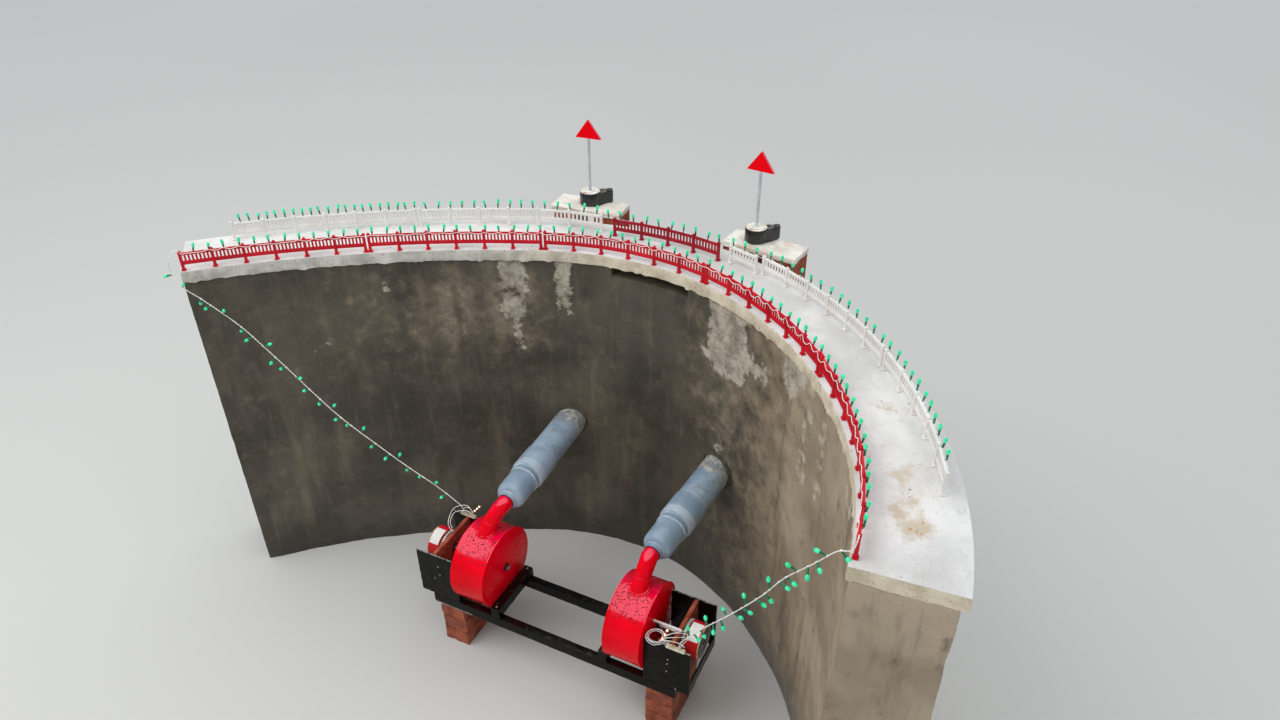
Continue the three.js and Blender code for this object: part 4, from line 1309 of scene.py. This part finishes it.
def penstock(name, side):
    """The grey pipe from the turbine's inlet into the wall, and its beads of glue"""
    start, along, wall = penstock_axis(name)
    length, place = PIPE_LENGTHS[name], penstock_place(name)
    straight = [(PIPE_RADIUS, distance) for distance in np.linspace(0.26, length, WALL_STEPS)]
    shape = Shape()
    shape.turned([*PIPE_OUTSIDE, *straight, (PIPE_BORE, length), *PIPE_INSIDE], PIPE_FACETS, 0, place, False)
    for radius, distance, fat in GLUE_BEADS:
        bead(shape, place @ Matrix.Translation((0, 0, distance)), radius, fat, side, 1)
    made = finish(f"penstock_{name}", shape, (PVC, GLUE), smooth=32)
    run = (mesh_points(made) - np.array(start)) @ np.array(along)
    mark(made, pipe=np.stack([run, wall - run, run * 0], axis=1))


def mortar_collar(name, side):
    """A rough dark fillet of mortar where the pipe enters the wall"""
    start, along, _ = penstock_axis(name)
    across = penstock_place(name).to_3x3()
    inside = PIPE_RADIUS - 0.0002

    def on_wall(x, y, rise):
        """A point off the pipe's axis, moved along it to just before the wall's face"""
        point = start + across @ Vector((x, y, 0))
        return point + along * (wall_reach(point, along) - rise)

    loops = []
    for ring in range(COLLAR_RINGS + 2):
        part = min(1.0, ring / COLLAR_RINGS)
        loop = []
        for x, y, _ in circle(1.0, COLLAR_FACETS):
            uneven = COLLAR_UNEVEN * ripple(Vector((x * 2.6, y * 2.6, side * 4)))
            radius = inside + part * (COLLAR_REACH + uneven)
            rise = COLLAR_RISE * (1 - part) ** 1.7 + 0.0016
            rise += 0.0018 * ripple(Vector((x * 9, y * 9, part * 12)), octaves=3)
            loop.append(on_wall(radius * x, radius * y, rise if ring <= COLLAR_RINGS else -COLLAR_BITE))
        loops.append(loop)
    loops.append([on_wall(x, y, -COLLAR_BITE) for x, y, _ in circle(inside, COLLAR_FACETS)])
    shape = Shape()
    shape.loops(loops, ends=False)
    piece(f"pipe_mortar_{name}", shape, (WET_MORTAR,), smooth=60)


def wall_reach(start, along):
    """How far along an axis the wall's downstream face lies"""
    low, high = 0.3, 0.7
    for _ in range(24):
        middle = (low + high) / 2
        inside = crest_at(start + along * middle)[1] >= WALL_FACE
        low, high = (low, middle) if inside else (middle, high)
    return low


# Turbines. Profiles have a radius and a height, and a weld bead its reach, rise and thickness
DRUM_RIM = ((0.1368, 0), (0.1378, 0.0006), (0.138, 0.0014), (0.138, 0.004), (0.1374, 0.0048),
            (0.1368, 0.0056), (0.1362, 0.007))
SHELL_RADIUS, SHELL_THICK = 0.1335, 0.004
DISCHARGE_HALF, DISCHARGE_TOP, DISCHARGE_DEEP = (0.048, 0.065), 0.258, 0.145
BEARING = ((BORE, 0.0), (0.014, 0.0), (0.014, 0.0026), (0.0132, 0.0034), (0.0112, 0.004),
           (0.011, 0.0082), (0.0102, 0.009), (BORE, 0.009))
# The middle weld bead sits low between the other two and is painted dark, as painted crevice shade
WELD_BEADS = ((0.0288, 0.001, 0.004), (0.0318, 0.0002, 0.002), (0.0342, -0.0006, 0.0022))
ELBOW_SEAMS = ((27, 0.0009), (50, 0.001))
ELBOW_BENDS = ((0.35, 0.038, 0.059), (0.75, 0.019, 0.029), (1, 0, 0))
JOINT_RING = ((0.0266, -0.0034), (0.0282, -0.0032), (0.0282, -0.0006), (0.0266, -0.0004))
DROPS, DROP_BAND = 560, 0.1362
DROP_ANGLES, DROP_CLEAR = (-0.6, 0.86), 0.036
DROP_PROFILE = ((1.0, 0), (0.94, 0.24), (0.66, 0.46), (0.2, 0.57))
HUB_RADIUS = 0.024
HUB_RIM = ((0.0135, 0), (0.0142, 0.0006), (0.0142, 0.0022), (0.0135, 0.0028))
PADDLES, PADDLE_HALF = 12, 0.044
PADDLE_FROM, PADDLE_TO, PADDLE_THIN = 0.021, 0.1138, 0.0016
LIP_FROM, LIP_TO, LIP_THIN = 0.11, 0.114, 0.002
SHAFT_FROM, SHAFT_LENGTH, SHAFT_RADIUS = 0.203, 0.279, 0.008
SHAFT_COLLAR = (0.0132, 0.1555, 0.1644)


def axle_place(side, x, way=1):
    """A place on the axle whose Z points away from the plant's middle, or back with way -1"""
    return along_axis(Vector((side * x, AXLE_Y, AXLE_Z)), Vector((side * way, 0, 0)))


def inlet_path(name, side, over, count):
    """The elbow's middle line: straight from the penstock, then down into the drum's top"""
    start, along, _ = penstock_axis(name)
    middle, top = side * DRUM_MIDDLE, AXLE_Z + DRUM_RADIUS
    bends = (*ELBOW_BENDS, (1, -0.003 - 0.2 * over, -0.014 - over))
    points = [start + along * (over - 0.0003), start - along * 0.016]
    points += [(start.x + (middle - start.x) * share, AXLE_Y + ahead, top + rise)
               for share, ahead, rise in bends]
    return smooth_path(points, count)


def casing(name, side):
    """The drum: a welded shell, open below, with a bore through each end for its bearing"""
    place = axle_place(side, DRUM_INNER)
    shell, gap, hole = (Shape() for _ in range(3))
    back = [(radius, DRUM_LENGTH - z) for radius, z in reversed(DRUM_RIM)]
    shell.turned([*DRUM_RIM, *back], 144, 0, place)
    hollow = plug(SHELL_RADIUS, SHELL_THICK, DRUM_LENGTH - SHELL_THICK, 96, place)
    x, (wide, deep) = side * DRUM_MIDDLE, DISCHARGE_HALF
    gap.block((x - wide, AXLE_Y - deep, AXLE_Z - DISCHARGE_DEEP),
              (x + wide, AXLE_Y + deep, DISCHARGE_TOP), 0.0001)
    hole.swept(inlet_path(name, side, 0.008, 24), INLET_BORE + 0.0003, 40)
    bore = plug(BORE, -0.05, DRUM_LENGTH + 0.05, 32, place)
    made = mesh_object(f"turbine_casing_{name}_finish", shell, (ENAMEL,))
    cut(made, (hollow, gap, hole, bore))
    made.data.shade_smooth()
    made.data.set_sharp_from_angle(angle=math.radians(35))
    settle(made, replaces=(f"turbine_casing_{name}",))


def casing_trim(name, side):
    """The drum's bearings, weld and drops of water"""
    trim = Shape()
    for spot in (axle_place(side, DRUM_INNER, -1), axle_place(side, DRUM_OUTER)):
        trim.turned(BEARING, 40, 1, spot, False)
        for turn in (0, math.pi):
            bolt(trim, spoke(spot, turn, 0.0108, 0.0024), 0.0024, 0.0062, 3)
    weld_collar(trim, name, side)
    water_drops(trim, side)
    piece(f"casing_trim_{name}", trim, (ENAMEL, CASE_DARK, DROP_AND_CREVICE_SHADE, RUBBER))


def weld_collar(shape, name, side):
    """The lumpy weld where the elbow meets the drum, with its middle bead painted dark red as the shade in
    the crevices between the beads, and two seams higher up the elbow
    """
    centre = Vector((side * DRUM_MIDDLE, AXLE_Y - 0.0005, 0))
    for layer, (reach, rise, fat) in enumerate(WELD_BEADS):
        loop = []
        for x, y, _ in circle(1.0, 90):
            wide = reach + 0.0012 * noise.noise(Vector((x * 3, y * 3, layer * 5 + side)))
            out = centre.y + wide * y - AXLE_Y
            z = AXLE_Z + math.sqrt(DRUM_RADIUS ** 2 - out ** 2) - 0.0016 + rise
            loop.append(Vector((centre.x + wide * x, centre.y + wide * y, z)))

        def lumpy(k, fat=fat, layer=layer):
            beat = 0.28 * math.sin(k * 1.9 + 0.8 * math.sin(k * 0.5))
            return fat * (1 + beat + 0.35 * noise.noise(Vector((k * 0.45, layer * 9, side * 4))))

        # The middle bead gets the dark drop red: painted shade in the crevices between the beads
        shape.swept(loop, lumpy, 8, 2 if layer == 1 else 0, True)
    frames = path_frames(inlet_path(name, side, 0.0, 80))
    for at, fat in ELBOW_SEAMS:
        bead(shape, frames[at], INLET_RADIUS, fat, side + at, 0)


def water_drops(shape, side):
    """Beads of water standing on the top of the drum"""
    for _ in range(DROPS):
        angle = RANDOM.gauss(0.3, 0.42)
        z = RANDOM.uniform(0.008, DRUM_LENGTH - 0.008)
        size = 0.0008 + 0.0016 * RANDOM.random() ** 2.2
        wide = RANDOM.uniform(0.8, 1.3)
        x, y = side * (DRUM_INNER + z), -DROP_BAND * math.sin(angle)
        seen = DROP_ANGLES[0] < angle < DROP_ANGLES[1]
        if not seen or math.hypot(x - side * DRUM_MIDDLE, y) < DROP_CLEAR:
            continue
        out = Vector((0, -math.sin(angle), math.cos(angle)))
        foot = Vector((x, AXLE_Y + y, AXLE_Z + DROP_BAND * math.cos(angle))) - out * size * 0.12
        shape.turned([(size * part, size * rise) for part, rise in DROP_PROFILE], 9, 2,
                     along_axis(foot, out) @ Matrix.Scale(wide, 4, (1, 0, 0)))


def inlet(name, side):
    """The bent inlet pipe, with a hand-beaten surface, and its ring at the penstock"""
    frames = path_frames(inlet_path(name, side, 0.0, 60))
    loops = []
    for ring, spot in enumerate(frames):
        part = ring / (len(frames) - 1)
        bend = math.exp(-((part - 0.45) / 0.24) ** 2)
        loop = []
        for x, y, _ in circle(1.0, 56):
            dent = ripple(Vector((x * 1.6, y * 1.6, part * 7 + side * 3)))
            reach = INLET_RADIUS + dent * (0.0004 + 0.0012 * bend) - 0.0003
            loop.append(spot @ Vector((x * reach, y * reach, 0)))
        loops.append(loop)
    loops += [[spot @ Vector(p) for p in circle(INLET_BORE, 56)] for spot in reversed(frames)]
    shape = Shape()
    shape.loops(loops, ends=False)
    shape.turned(JOINT_RING, 56, 1, penstock_place(name), False)
    finish(f"turbine_inlet_{name}", shape, (ENAMEL, RUBBER), smooth=40)


def runner(name, side):
    """The paddle wheel on its shaft"""
    shape = Shape()
    place, half = axle_place(side, DRUM_MIDDLE), PADDLE_HALF
    shape.disc(HUB_RADIUS, -half, half, 0.001, 48, 1, place)
    for z in (-half - HUB_RIM[-1][1], half):
        shape.turned([(radius, z + rise) for radius, rise in HUB_RIM], 32, 0, place)
    for k in range(PADDLES):
        turn = spoke(place, 2 * math.pi * k / PADDLES)
        shape.block((PADDLE_FROM, -PADDLE_THIN, -half), (PADDLE_TO, PADDLE_THIN, half), 0.0005, 1, turn)
        shape.block((LIP_FROM, -LIP_THIN, -half), (LIP_TO, LIP_THIN, half), 0.0008, 1, turn)

        def weld(i, k=k):
            return 0.0013 * (1 + 0.3 * math.sin(i * 3.8 + k))

        for edge in (-0.002, 0.002):
            seam = [turn @ Vector((HUB_RADIUS + 0.0002, edge, z)) for z in np.linspace(-0.042, 0.042, 24)]
            shape.swept(seam, weld, 6, 1)
    shaft = axle_place(side, SHAFT_FROM)
    shape.disc(SHAFT_RADIUS, 0, SHAFT_LENGTH, 0.001, place=shaft)
    shape.disc(*SHAFT_COLLAR, 0.0004, place=shaft)
    finish(f"turbine_runner_{name}", shape, (BRIGHT, WET_STEEL), body=f"runner_{name}")


# Generators: rings of radius and distance along the axle, with their facets and paint. END is
# the red shell's outer face, and a label has its first and last angle
GENERATOR_FROM, GENERATOR_RADIUS, END = 0.4383, 0.057, 0.057
LABEL_ANGLES = {"left": (-8, 52), "right": (-16, 48)}
LABEL_RIM = ((0.019, -0.0003), (0.019, 0.00045), (END - 0.0025, 0.00045), (END - 0.0025, -0.0003))
COIL_TEETH, COVER_BOLTS = 40, 6
GENERATOR_RINGS = (
    (((BORE, 0.0), (0.049, 0.0), (0.05, 0.001), (0.05, 0.017), (BORE, 0.017)), 72, 1),
    (((0.048, 0.005), (0.0548, 0.005), (0.0552, 0.0056), (0.0552, 0.0084), (0.048, 0.0088)), 72, 2),
    (((BORE, 0.016), (0.0558, 0.016), (0.0568, 0.017), (GENERATOR_RADIUS, 0.0182),
      (GENERATOR_RADIUS, END - 0.0022), (0.0568, END - 0.001), (0.0558, END), (BORE, END)), 96, 0),
    (((0.044, END - 0.001), (0.0532, END - 0.001), (0.054, END), (0.054, END + 0.0036),
      (0.0532, END + 0.0044), (0.044, END + 0.0044)), 72, 3),
    (((BORE, END - 0.001), (0.05, END - 0.001), (0.05, END + 0.0046), (0.0492, END + 0.005),
      (0.03, END + 0.005), (0.029, END + 0.0034), (BORE, END + 0.0034)), 72, 1),
)


def generator(name, side):
    """A salvaged flat generator: a slotted inner ring, a red shell and a tan ring outside"""
    place = axle_place(side, GENERATOR_FROM)
    shape = Shape()
    for profile, facets, paint in GENERATOR_RINGS:
        shape.turned(profile, facets, paint, place, False)
    for k in range(COIL_TEETH):
        shape.block((0.048, -0.0021, 0.0024), (0.0556, 0.0021, 0.0128), 0.0007, 2,
                    spoke(place, 2 * math.pi * k / COIL_TEETH))
    for k in range(COVER_BOLTS):
        turn = 2 * math.pi * k / COVER_BOLTS + 0.3
        bolt(shape, spoke(place, turn, 0.04, END + 0.0044), 0.0018, 0.0006, 2)
    strip = []
    for angle in np.radians(np.linspace(*LABEL_ANGLES[name], 33)):
        out = Vector((0, -math.sin(angle), math.cos(angle)))
        strip.append([Vector((side * (GENERATOR_FROM + z), AXLE_Y, AXLE_Z)) + out * (GENERATOR_RADIUS + lift)
                      for z, lift in LABEL_RIM])
    shape.loops(strip, 4)
    finish(f"generator_{name}", shape, (DULL_RED, MOTOR_BLACK, FIN_METAL, TAN_RING, LABEL))


# Frame. Rivets on each plate: x and z
FRAME_CELL, FRAME_ROUND = 0.0065, 0.0012
RAIL_BOLTS = (-0.44, -0.2, 0.2, 0.44)
RIVETS = {
    "front_left": ((-0.4144, 0.359), (-0.4117, 0.322), (-0.4361, 0.297)),
    "front_right": ((0.4251, 0.35), (0.4241, 0.33), (0.4221, 0.295), (0.4542, 0.228)),
    "back_left": ((-0.425, 0.33), (-0.418, 0.312)),
    "back_right": ((0.402, 0.365), (0.408, 0.34), (0.43, 0.31)),
}
PLATE_THICK, PLATE_END, FOLD_HEIGHT = 0.006, 0.498, 0.045
BRACKET_BOLTS, BRACKET_HOLE = 0.03, 0.015
STACK_COURSES, STACK_INSET, STACK_GAP, STACK_SLIP = 3, 0.0024, 0.0003, 0.0022
STRIP_WAYS = 6
SCREW_TUBE = ((0.0016, 0.0), (0.0026, 0.0), (0.0026, 0.0024), (0.0016, 0.0024))
SCREW = ((0.0016, 0.0), (0.0016, 0.0012))


def board(shape, low, high, lumps=0.0009, paint=0):
    """A sawn and painted board with slightly uneven edges"""
    shape.rough(low, high, FRAME_CELL, FRAME_ROUND, lumps, paint, scale=40.0, seed=low[0] * 50)


def black_finish(node, shape, wear=0.0):
    """A painted part of the frame, worn pale over a band at its upper rim"""
    made = finish(node, shape, (BLACK, BRIGHT, SAWN), smooth=30)
    z = mesh_points(made)[:, 2]
    worn = smooth_step(z, z.max() - wear, z.max() - wear * 0.2) if wear else z * 0
    mark(made, worn=np.stack([worn, z * 0, z * 0], axis=1))


def rail(node):
    """A long rail with a few bolt heads, and the front one with a bare strip along its foot"""
    low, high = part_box(node)
    shape = Shape()
    board(shape, low, high, 0.0006)
    for x in RAIL_BOLTS:
        spot = Matrix.Translation((x, (low.y + high.y) / 2, high.z - 0.0006))
        bolt(shape, spot, 0.003, 0.0036, 1)
    if node == "frame_rail_front":
        board(shape, (low.x, low.y - 0.001, low.z), (-0.297, low.y + 0.002, low.z + 0.005), 0.0005, 2)
    black_finish(node, shape)


def cross_beam(node):
    """The beam inboard of each drum, and its bolts"""
    low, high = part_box(node)
    shape = Shape()
    board(shape, low, high)
    for y in (low.y + 0.012, high.y - 0.012):
        bolt(shape, Matrix.Translation(((low.x + high.x) / 2, y, high.z - 0.0006)), 0.0026, 0.0032, 1)
    black_finish(node, shape, 0.002)


def side_plate(name, side, face):
    """A plate beside the drum; the back one turns inward at its outer end"""
    node = f"side_plate_{face}_{name}"
    low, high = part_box(node)
    shape = Shape()
    board(shape, (low.x, high.y - PLATE_THICK, low.z), high)
    at, turn = low.y, math.radians(90)
    if face == "back":
        at, turn = high.y, math.radians(-90)
        x0, x1 = sorted((side * PLATE_END, side * PLATE_END - side * PLATE_THICK))
        board(shape, (x0, low.y, low.z), (x1, high.y - 0.002, low.z + FOLD_HEIGHT))
    for x, z in RIVETS[f"{face}_{name}"]:
        rivet(shape, Matrix.Translation((x, at, z)) @ Matrix.Rotation(turn, 4, "X"), 0.0024, 1)
    black_finish(node, shape, 0.0055)


def bracket(name, side):
    """The red-brown board that carries the generator, and its bolts"""
    node = f"generator_bracket_{name}"
    low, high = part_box(node)
    shape, bolts = Shape(), Shape()
    board(shape, low, high, 0.0007)
    made = mesh_object(node + "_finish", shape, (OXIDE,))
    cut(made, [plug(BRACKET_HOLE, -0.03, 0.03, 40, axle_place(side, (low.x + high.x) / 2 * side))])
    settle(made, replaces=(node,))
    face = low.x if side > 0 else high.x
    for up in (BRACKET_BOLTS, -BRACKET_BOLTS):
        for out in (-BRACKET_BOLTS, BRACKET_BOLTS):
            spot = along_axis(Vector((face, AXLE_Y + out, AXLE_Z + up)), Vector((-side, 0, 0)))
            bolt(bolts, spot, 0.0028, 0.0034, 0)
    piece(f"bracket_bolts_{name}", bolts, (BRIGHT,))


def terminal_strip(node):
    """A cream screw-terminal strip"""
    low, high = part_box(node)
    shape = Shape()
    pitch, middle = (high.x - low.x) / STRIP_WAYS, (low.y + high.y) / 2
    shape.block(low, (high.x, high.y, low.z + 0.005), 0.0006)
    for k in range(STRIP_WAYS):
        x, half = low.x + (k + 0.5) * pitch, pitch * 0.4
        shape.block((x - half, low.y + 0.0008, low.z + 0.004), (x + half, high.y - 0.0008, low.z + 0.0088),
                    0.0008)
        for y in (middle - 0.0028, middle + 0.0028):
            tube = Matrix.Translation((x, y, low.z + 0.0084))
            shape.turned(SCREW_TUBE, 14, 0, tube, False)
            shape.turned(SCREW, 10, 1, tube)
    finish(node, shape, (CREAM, BRASS))


def brick_stack(node):
    """Wet bricks under an end of the frame"""
    low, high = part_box(node)
    tall = (high.z - low.z) / STACK_COURSES
    shape = Shape()
    for k in range(STACK_COURSES):
        foot, top = low.z + k * tall + STACK_GAP, low.z + (k + 1) * tall - STACK_GAP
        slip = Vector((RANDOM.uniform(-STACK_SLIP, STACK_SLIP), RANDOM.uniform(-STACK_SLIP, STACK_SLIP), 0))
        shape.rough(Vector((low.x + STACK_INSET, low.y + STACK_INSET, foot)) + slip,
                    Vector((high.x - STACK_INSET, high.y - STACK_INSET, top)) + slip,
                    cell=0.0052, radius=0.003, lumps=0.0026, scale=42.0, seed=k * 3.1 + low.x * 20)
    finish(node, shape, (WET_BRICK,), smooth=60)


# Loose wiring on top of each turbine: runs of wire, and boards with small lights
WIRE_RUNS = {
    "left": (
        ((-0.452, -0.591, STRIP_TOP), (-0.446, -0.588, 0.436), (-0.428, -0.586, 0.44),
         (-0.41, -0.59, 0.428)),
        ((-0.45, -0.593, STRIP_TOP), (-0.444, -0.596, 0.43), (-0.426, -0.595, 0.432),
         (-0.408, -0.594, 0.424)),
        ((-0.41, -0.59, 0.428), (-0.44, -0.583, 0.444), (-0.478, -0.606, 0.436),
         (-0.474, -0.65, 0.412), (-0.452, -0.672, 0.41), (-0.436, -0.676, 0.404)),
        ((-0.44, -0.59, 0.428), (-0.468, -0.618, 0.43), (-0.464, -0.652, 0.414),
         (-0.444, -0.668, 0.408)),
    ),
    "right": (
        ((0.462, -0.799, STRIP_TOP), (0.468, -0.788, 0.428), (0.47, -0.76, 0.418), (0.466, -0.736, 0.408)),
        ((0.402, -0.776, 0.414), (0.42, -0.76, 0.42), (0.444, -0.742, 0.416), (0.462, -0.73, 0.406)),
        ((0.398, -0.784, 0.413), (0.424, -0.772, 0.418), (0.448, -0.756, 0.414), (0.462, -0.742, 0.404)),
        ((0.392, -0.792, 0.412), (0.424, -0.786, 0.418), (0.452, -0.782, 0.418), (0.474, -0.788, 0.418)),
        ((0.404, -0.768, 0.413), (0.43, -0.748, 0.418), (0.452, -0.724, 0.412), (0.462, -0.716, 0.405)),
    ),
}
COIL_CENTRE, COIL_RADII = Vector((0.38, -0.788, 0.416)), (0.03, 0.0212, 0.0257)
BOARD_LENGTH, BOARD_HALF, BOARD_THICK, BOARD_LIGHTS = 0.052, 0.006, 0.0022, 3
LIGHT_PROFILE = ((0.003, 0), (0.003, 0.0026), (0.0022, 0.0042), (0.0008, 0.0048))
LEFT_BOARD, LEFT_BOARD_UP = Vector((-0.388, -0.59, 0.452)), Vector((-0.78, 0, 0.62))
RIGHT_BOARD = (0.399, -0.764, 0.406, 90)
PALE_STRIP = ((0.3436, -0.731, 0.4056), (0.437, -0.7236, 0.41))
COPPER_STUD, STUD_PROFILE = (0.456, -0.774, 0.401), ((0.0044, 0), (0.0044, 0.009), (0.003, 0.01))
RUN_RADIUS, COIL_WIRE_RADIUS = 0.0011, 0.0009


def light_board(shape, place):
    """A narrow red board with small lights in a row along it"""
    half = BOARD_LENGTH / 2
    shape.block((-half, -BOARD_HALF, 0), (half, BOARD_HALF, BOARD_THICK), 0.0004, 1, place)
    for k in range(BOARD_LIGHTS):
        x = (k + 0.5 - BOARD_LIGHTS / 2) * BOARD_LENGTH / BOARD_LIGHTS
        shape.turned(LIGHT_PROFILE, 12, 2, place @ Matrix.Translation((x, 0, BOARD_THICK)))


def coil(shape):
    """Spare wire wound up beside the right generator"""
    for turn, radius in enumerate(COIL_RADII):
        ring = []
        for x, y, _ in circle(radius, 60):
            lift = 0.0016 * turn + 0.002 * noise.noise(Vector((x * 60, y * 60, turn)))
            ring.append(COIL_CENTRE + Vector((x, y, lift)))
        shape.swept(ring, COIL_WIRE_RADIUS, 6, 0, True)


def wiring(name):
    """The runs of wire on one turbine, and the boards and small parts they lead to"""
    shape = Shape()
    for points in WIRE_RUNS[name]:
        shape.swept(even_path(smooth_path(points, 60), 0.002), RUN_RADIUS, 6)
    if name == "left":
        light_board(shape, spoke(along_axis(LEFT_BOARD, LEFT_BOARD_UP), math.radians(90)))
    else:
        coil(shape)
        light_board(shape, turned_place(*RIGHT_BOARD))
        shape.block(*PALE_STRIP, 0.0006, 3)
        shape.turned(STUD_PROFILE, 16, 4, Matrix.Translation(COPPER_STUD))
    piece(f"wiring_{name}", shape, (WIRE, OXIDE, GLOW, LABEL, COPPER))


for side_name, side_sign in SIDES:
    for build in (penstock, mortar_collar, casing, casing_trim, inlet, runner, generator):
        build(side_name, side_sign)
    cross_beam(f"cross_beam_{side_name}")
    side_plate(side_name, side_sign, "front")
    side_plate(side_name, side_sign, "back")
    bracket(side_name, side_sign)
    terminal_strip(f"terminal_strip_{side_name}")
    brick_stack(f"brick_stack_{side_name}")
    wiring(side_name)
rail("frame_rail_front")
rail("frame_rail_back")


# Floor and light. The sky's strength goes from low to high over two heights
FLOOR_REACH = 30
SKY_COLOUR, SKY_LOW, SKY_HIGH, SKY_HEIGHTS = (0.93, 0.97, 1.0, 1.0), 0.42, 1.2, (0.5, 0.66)
KEY_SIZE, KEY_POWER, KEY_COLOUR = 3.5, 90, (1.0, 0.98, 0.95)
KEY_PLACE, KEY_TARGET = Vector((-2.2, -2.6, 4.8)), Vector((0, -0.5, 0.6))


def add_floor():
    """A wide pale floor that belongs to the studio, not to the plant"""
    look = Look("studio_floor", Roughness=0.9)
    tone = look.mix(look.mask(look.noise(0.2, 0), 0.3, 0.7), (203, 202, 199), (206, 205, 202))
    floor = Shape()
    floor.add(square(FLOOR_REACH, 0), [[0, 1, 2, 3]])
    mesh_object("studio_floor", floor, (look.feed(Base_Color=tone),))


def add_sky():
    """A broad soft sky that is dimmer near the horizon"""
    world = bpy.data.worlds.new("studio")
    world.use_nodes = True
    nodes, links = world.node_tree.nodes, world.node_tree.links
    place, split, fade = (nodes.new("ShaderNode" + kind) for kind in ("TexCoord", "SeparateXYZ", "MapRange"))
    fade.interpolation_type = "SMOOTHSTEP"
    for socket, value in zip(("From Min", "From Max", "To Min", "To Max"), (*SKY_HEIGHTS, SKY_LOW, SKY_HIGH)):
        fade.inputs[socket].default_value = value
    links.new(place.outputs["Generated"], split.inputs[0])
    links.new(split.outputs["Z"], fade.inputs["Value"])
    links.new(fade.outputs[0], nodes["Background"].inputs["Strength"])
    nodes["Background"].inputs["Color"].default_value = SKY_COLOUR
    bpy.context.scene.world = world


def add_key_light():
    """A large soft lamp, high on the left"""
    key = bpy.data.lights.new("key", "AREA")
    key.shape, key.size, key.energy, key.color = "SQUARE", KEY_SIZE, KEY_POWER, KEY_COLOUR
    stand = bpy.data.objects.new("key", key)
    stand.location = KEY_PLACE
    stand.rotation_euler = (KEY_TARGET - KEY_PLACE).to_track_quat("-Z", "Y").to_euler()
    stand.visible_glossy = False
    bpy.context.scene.collection.objects.link(stand)


add_floor()
add_sky()
add_key_light()
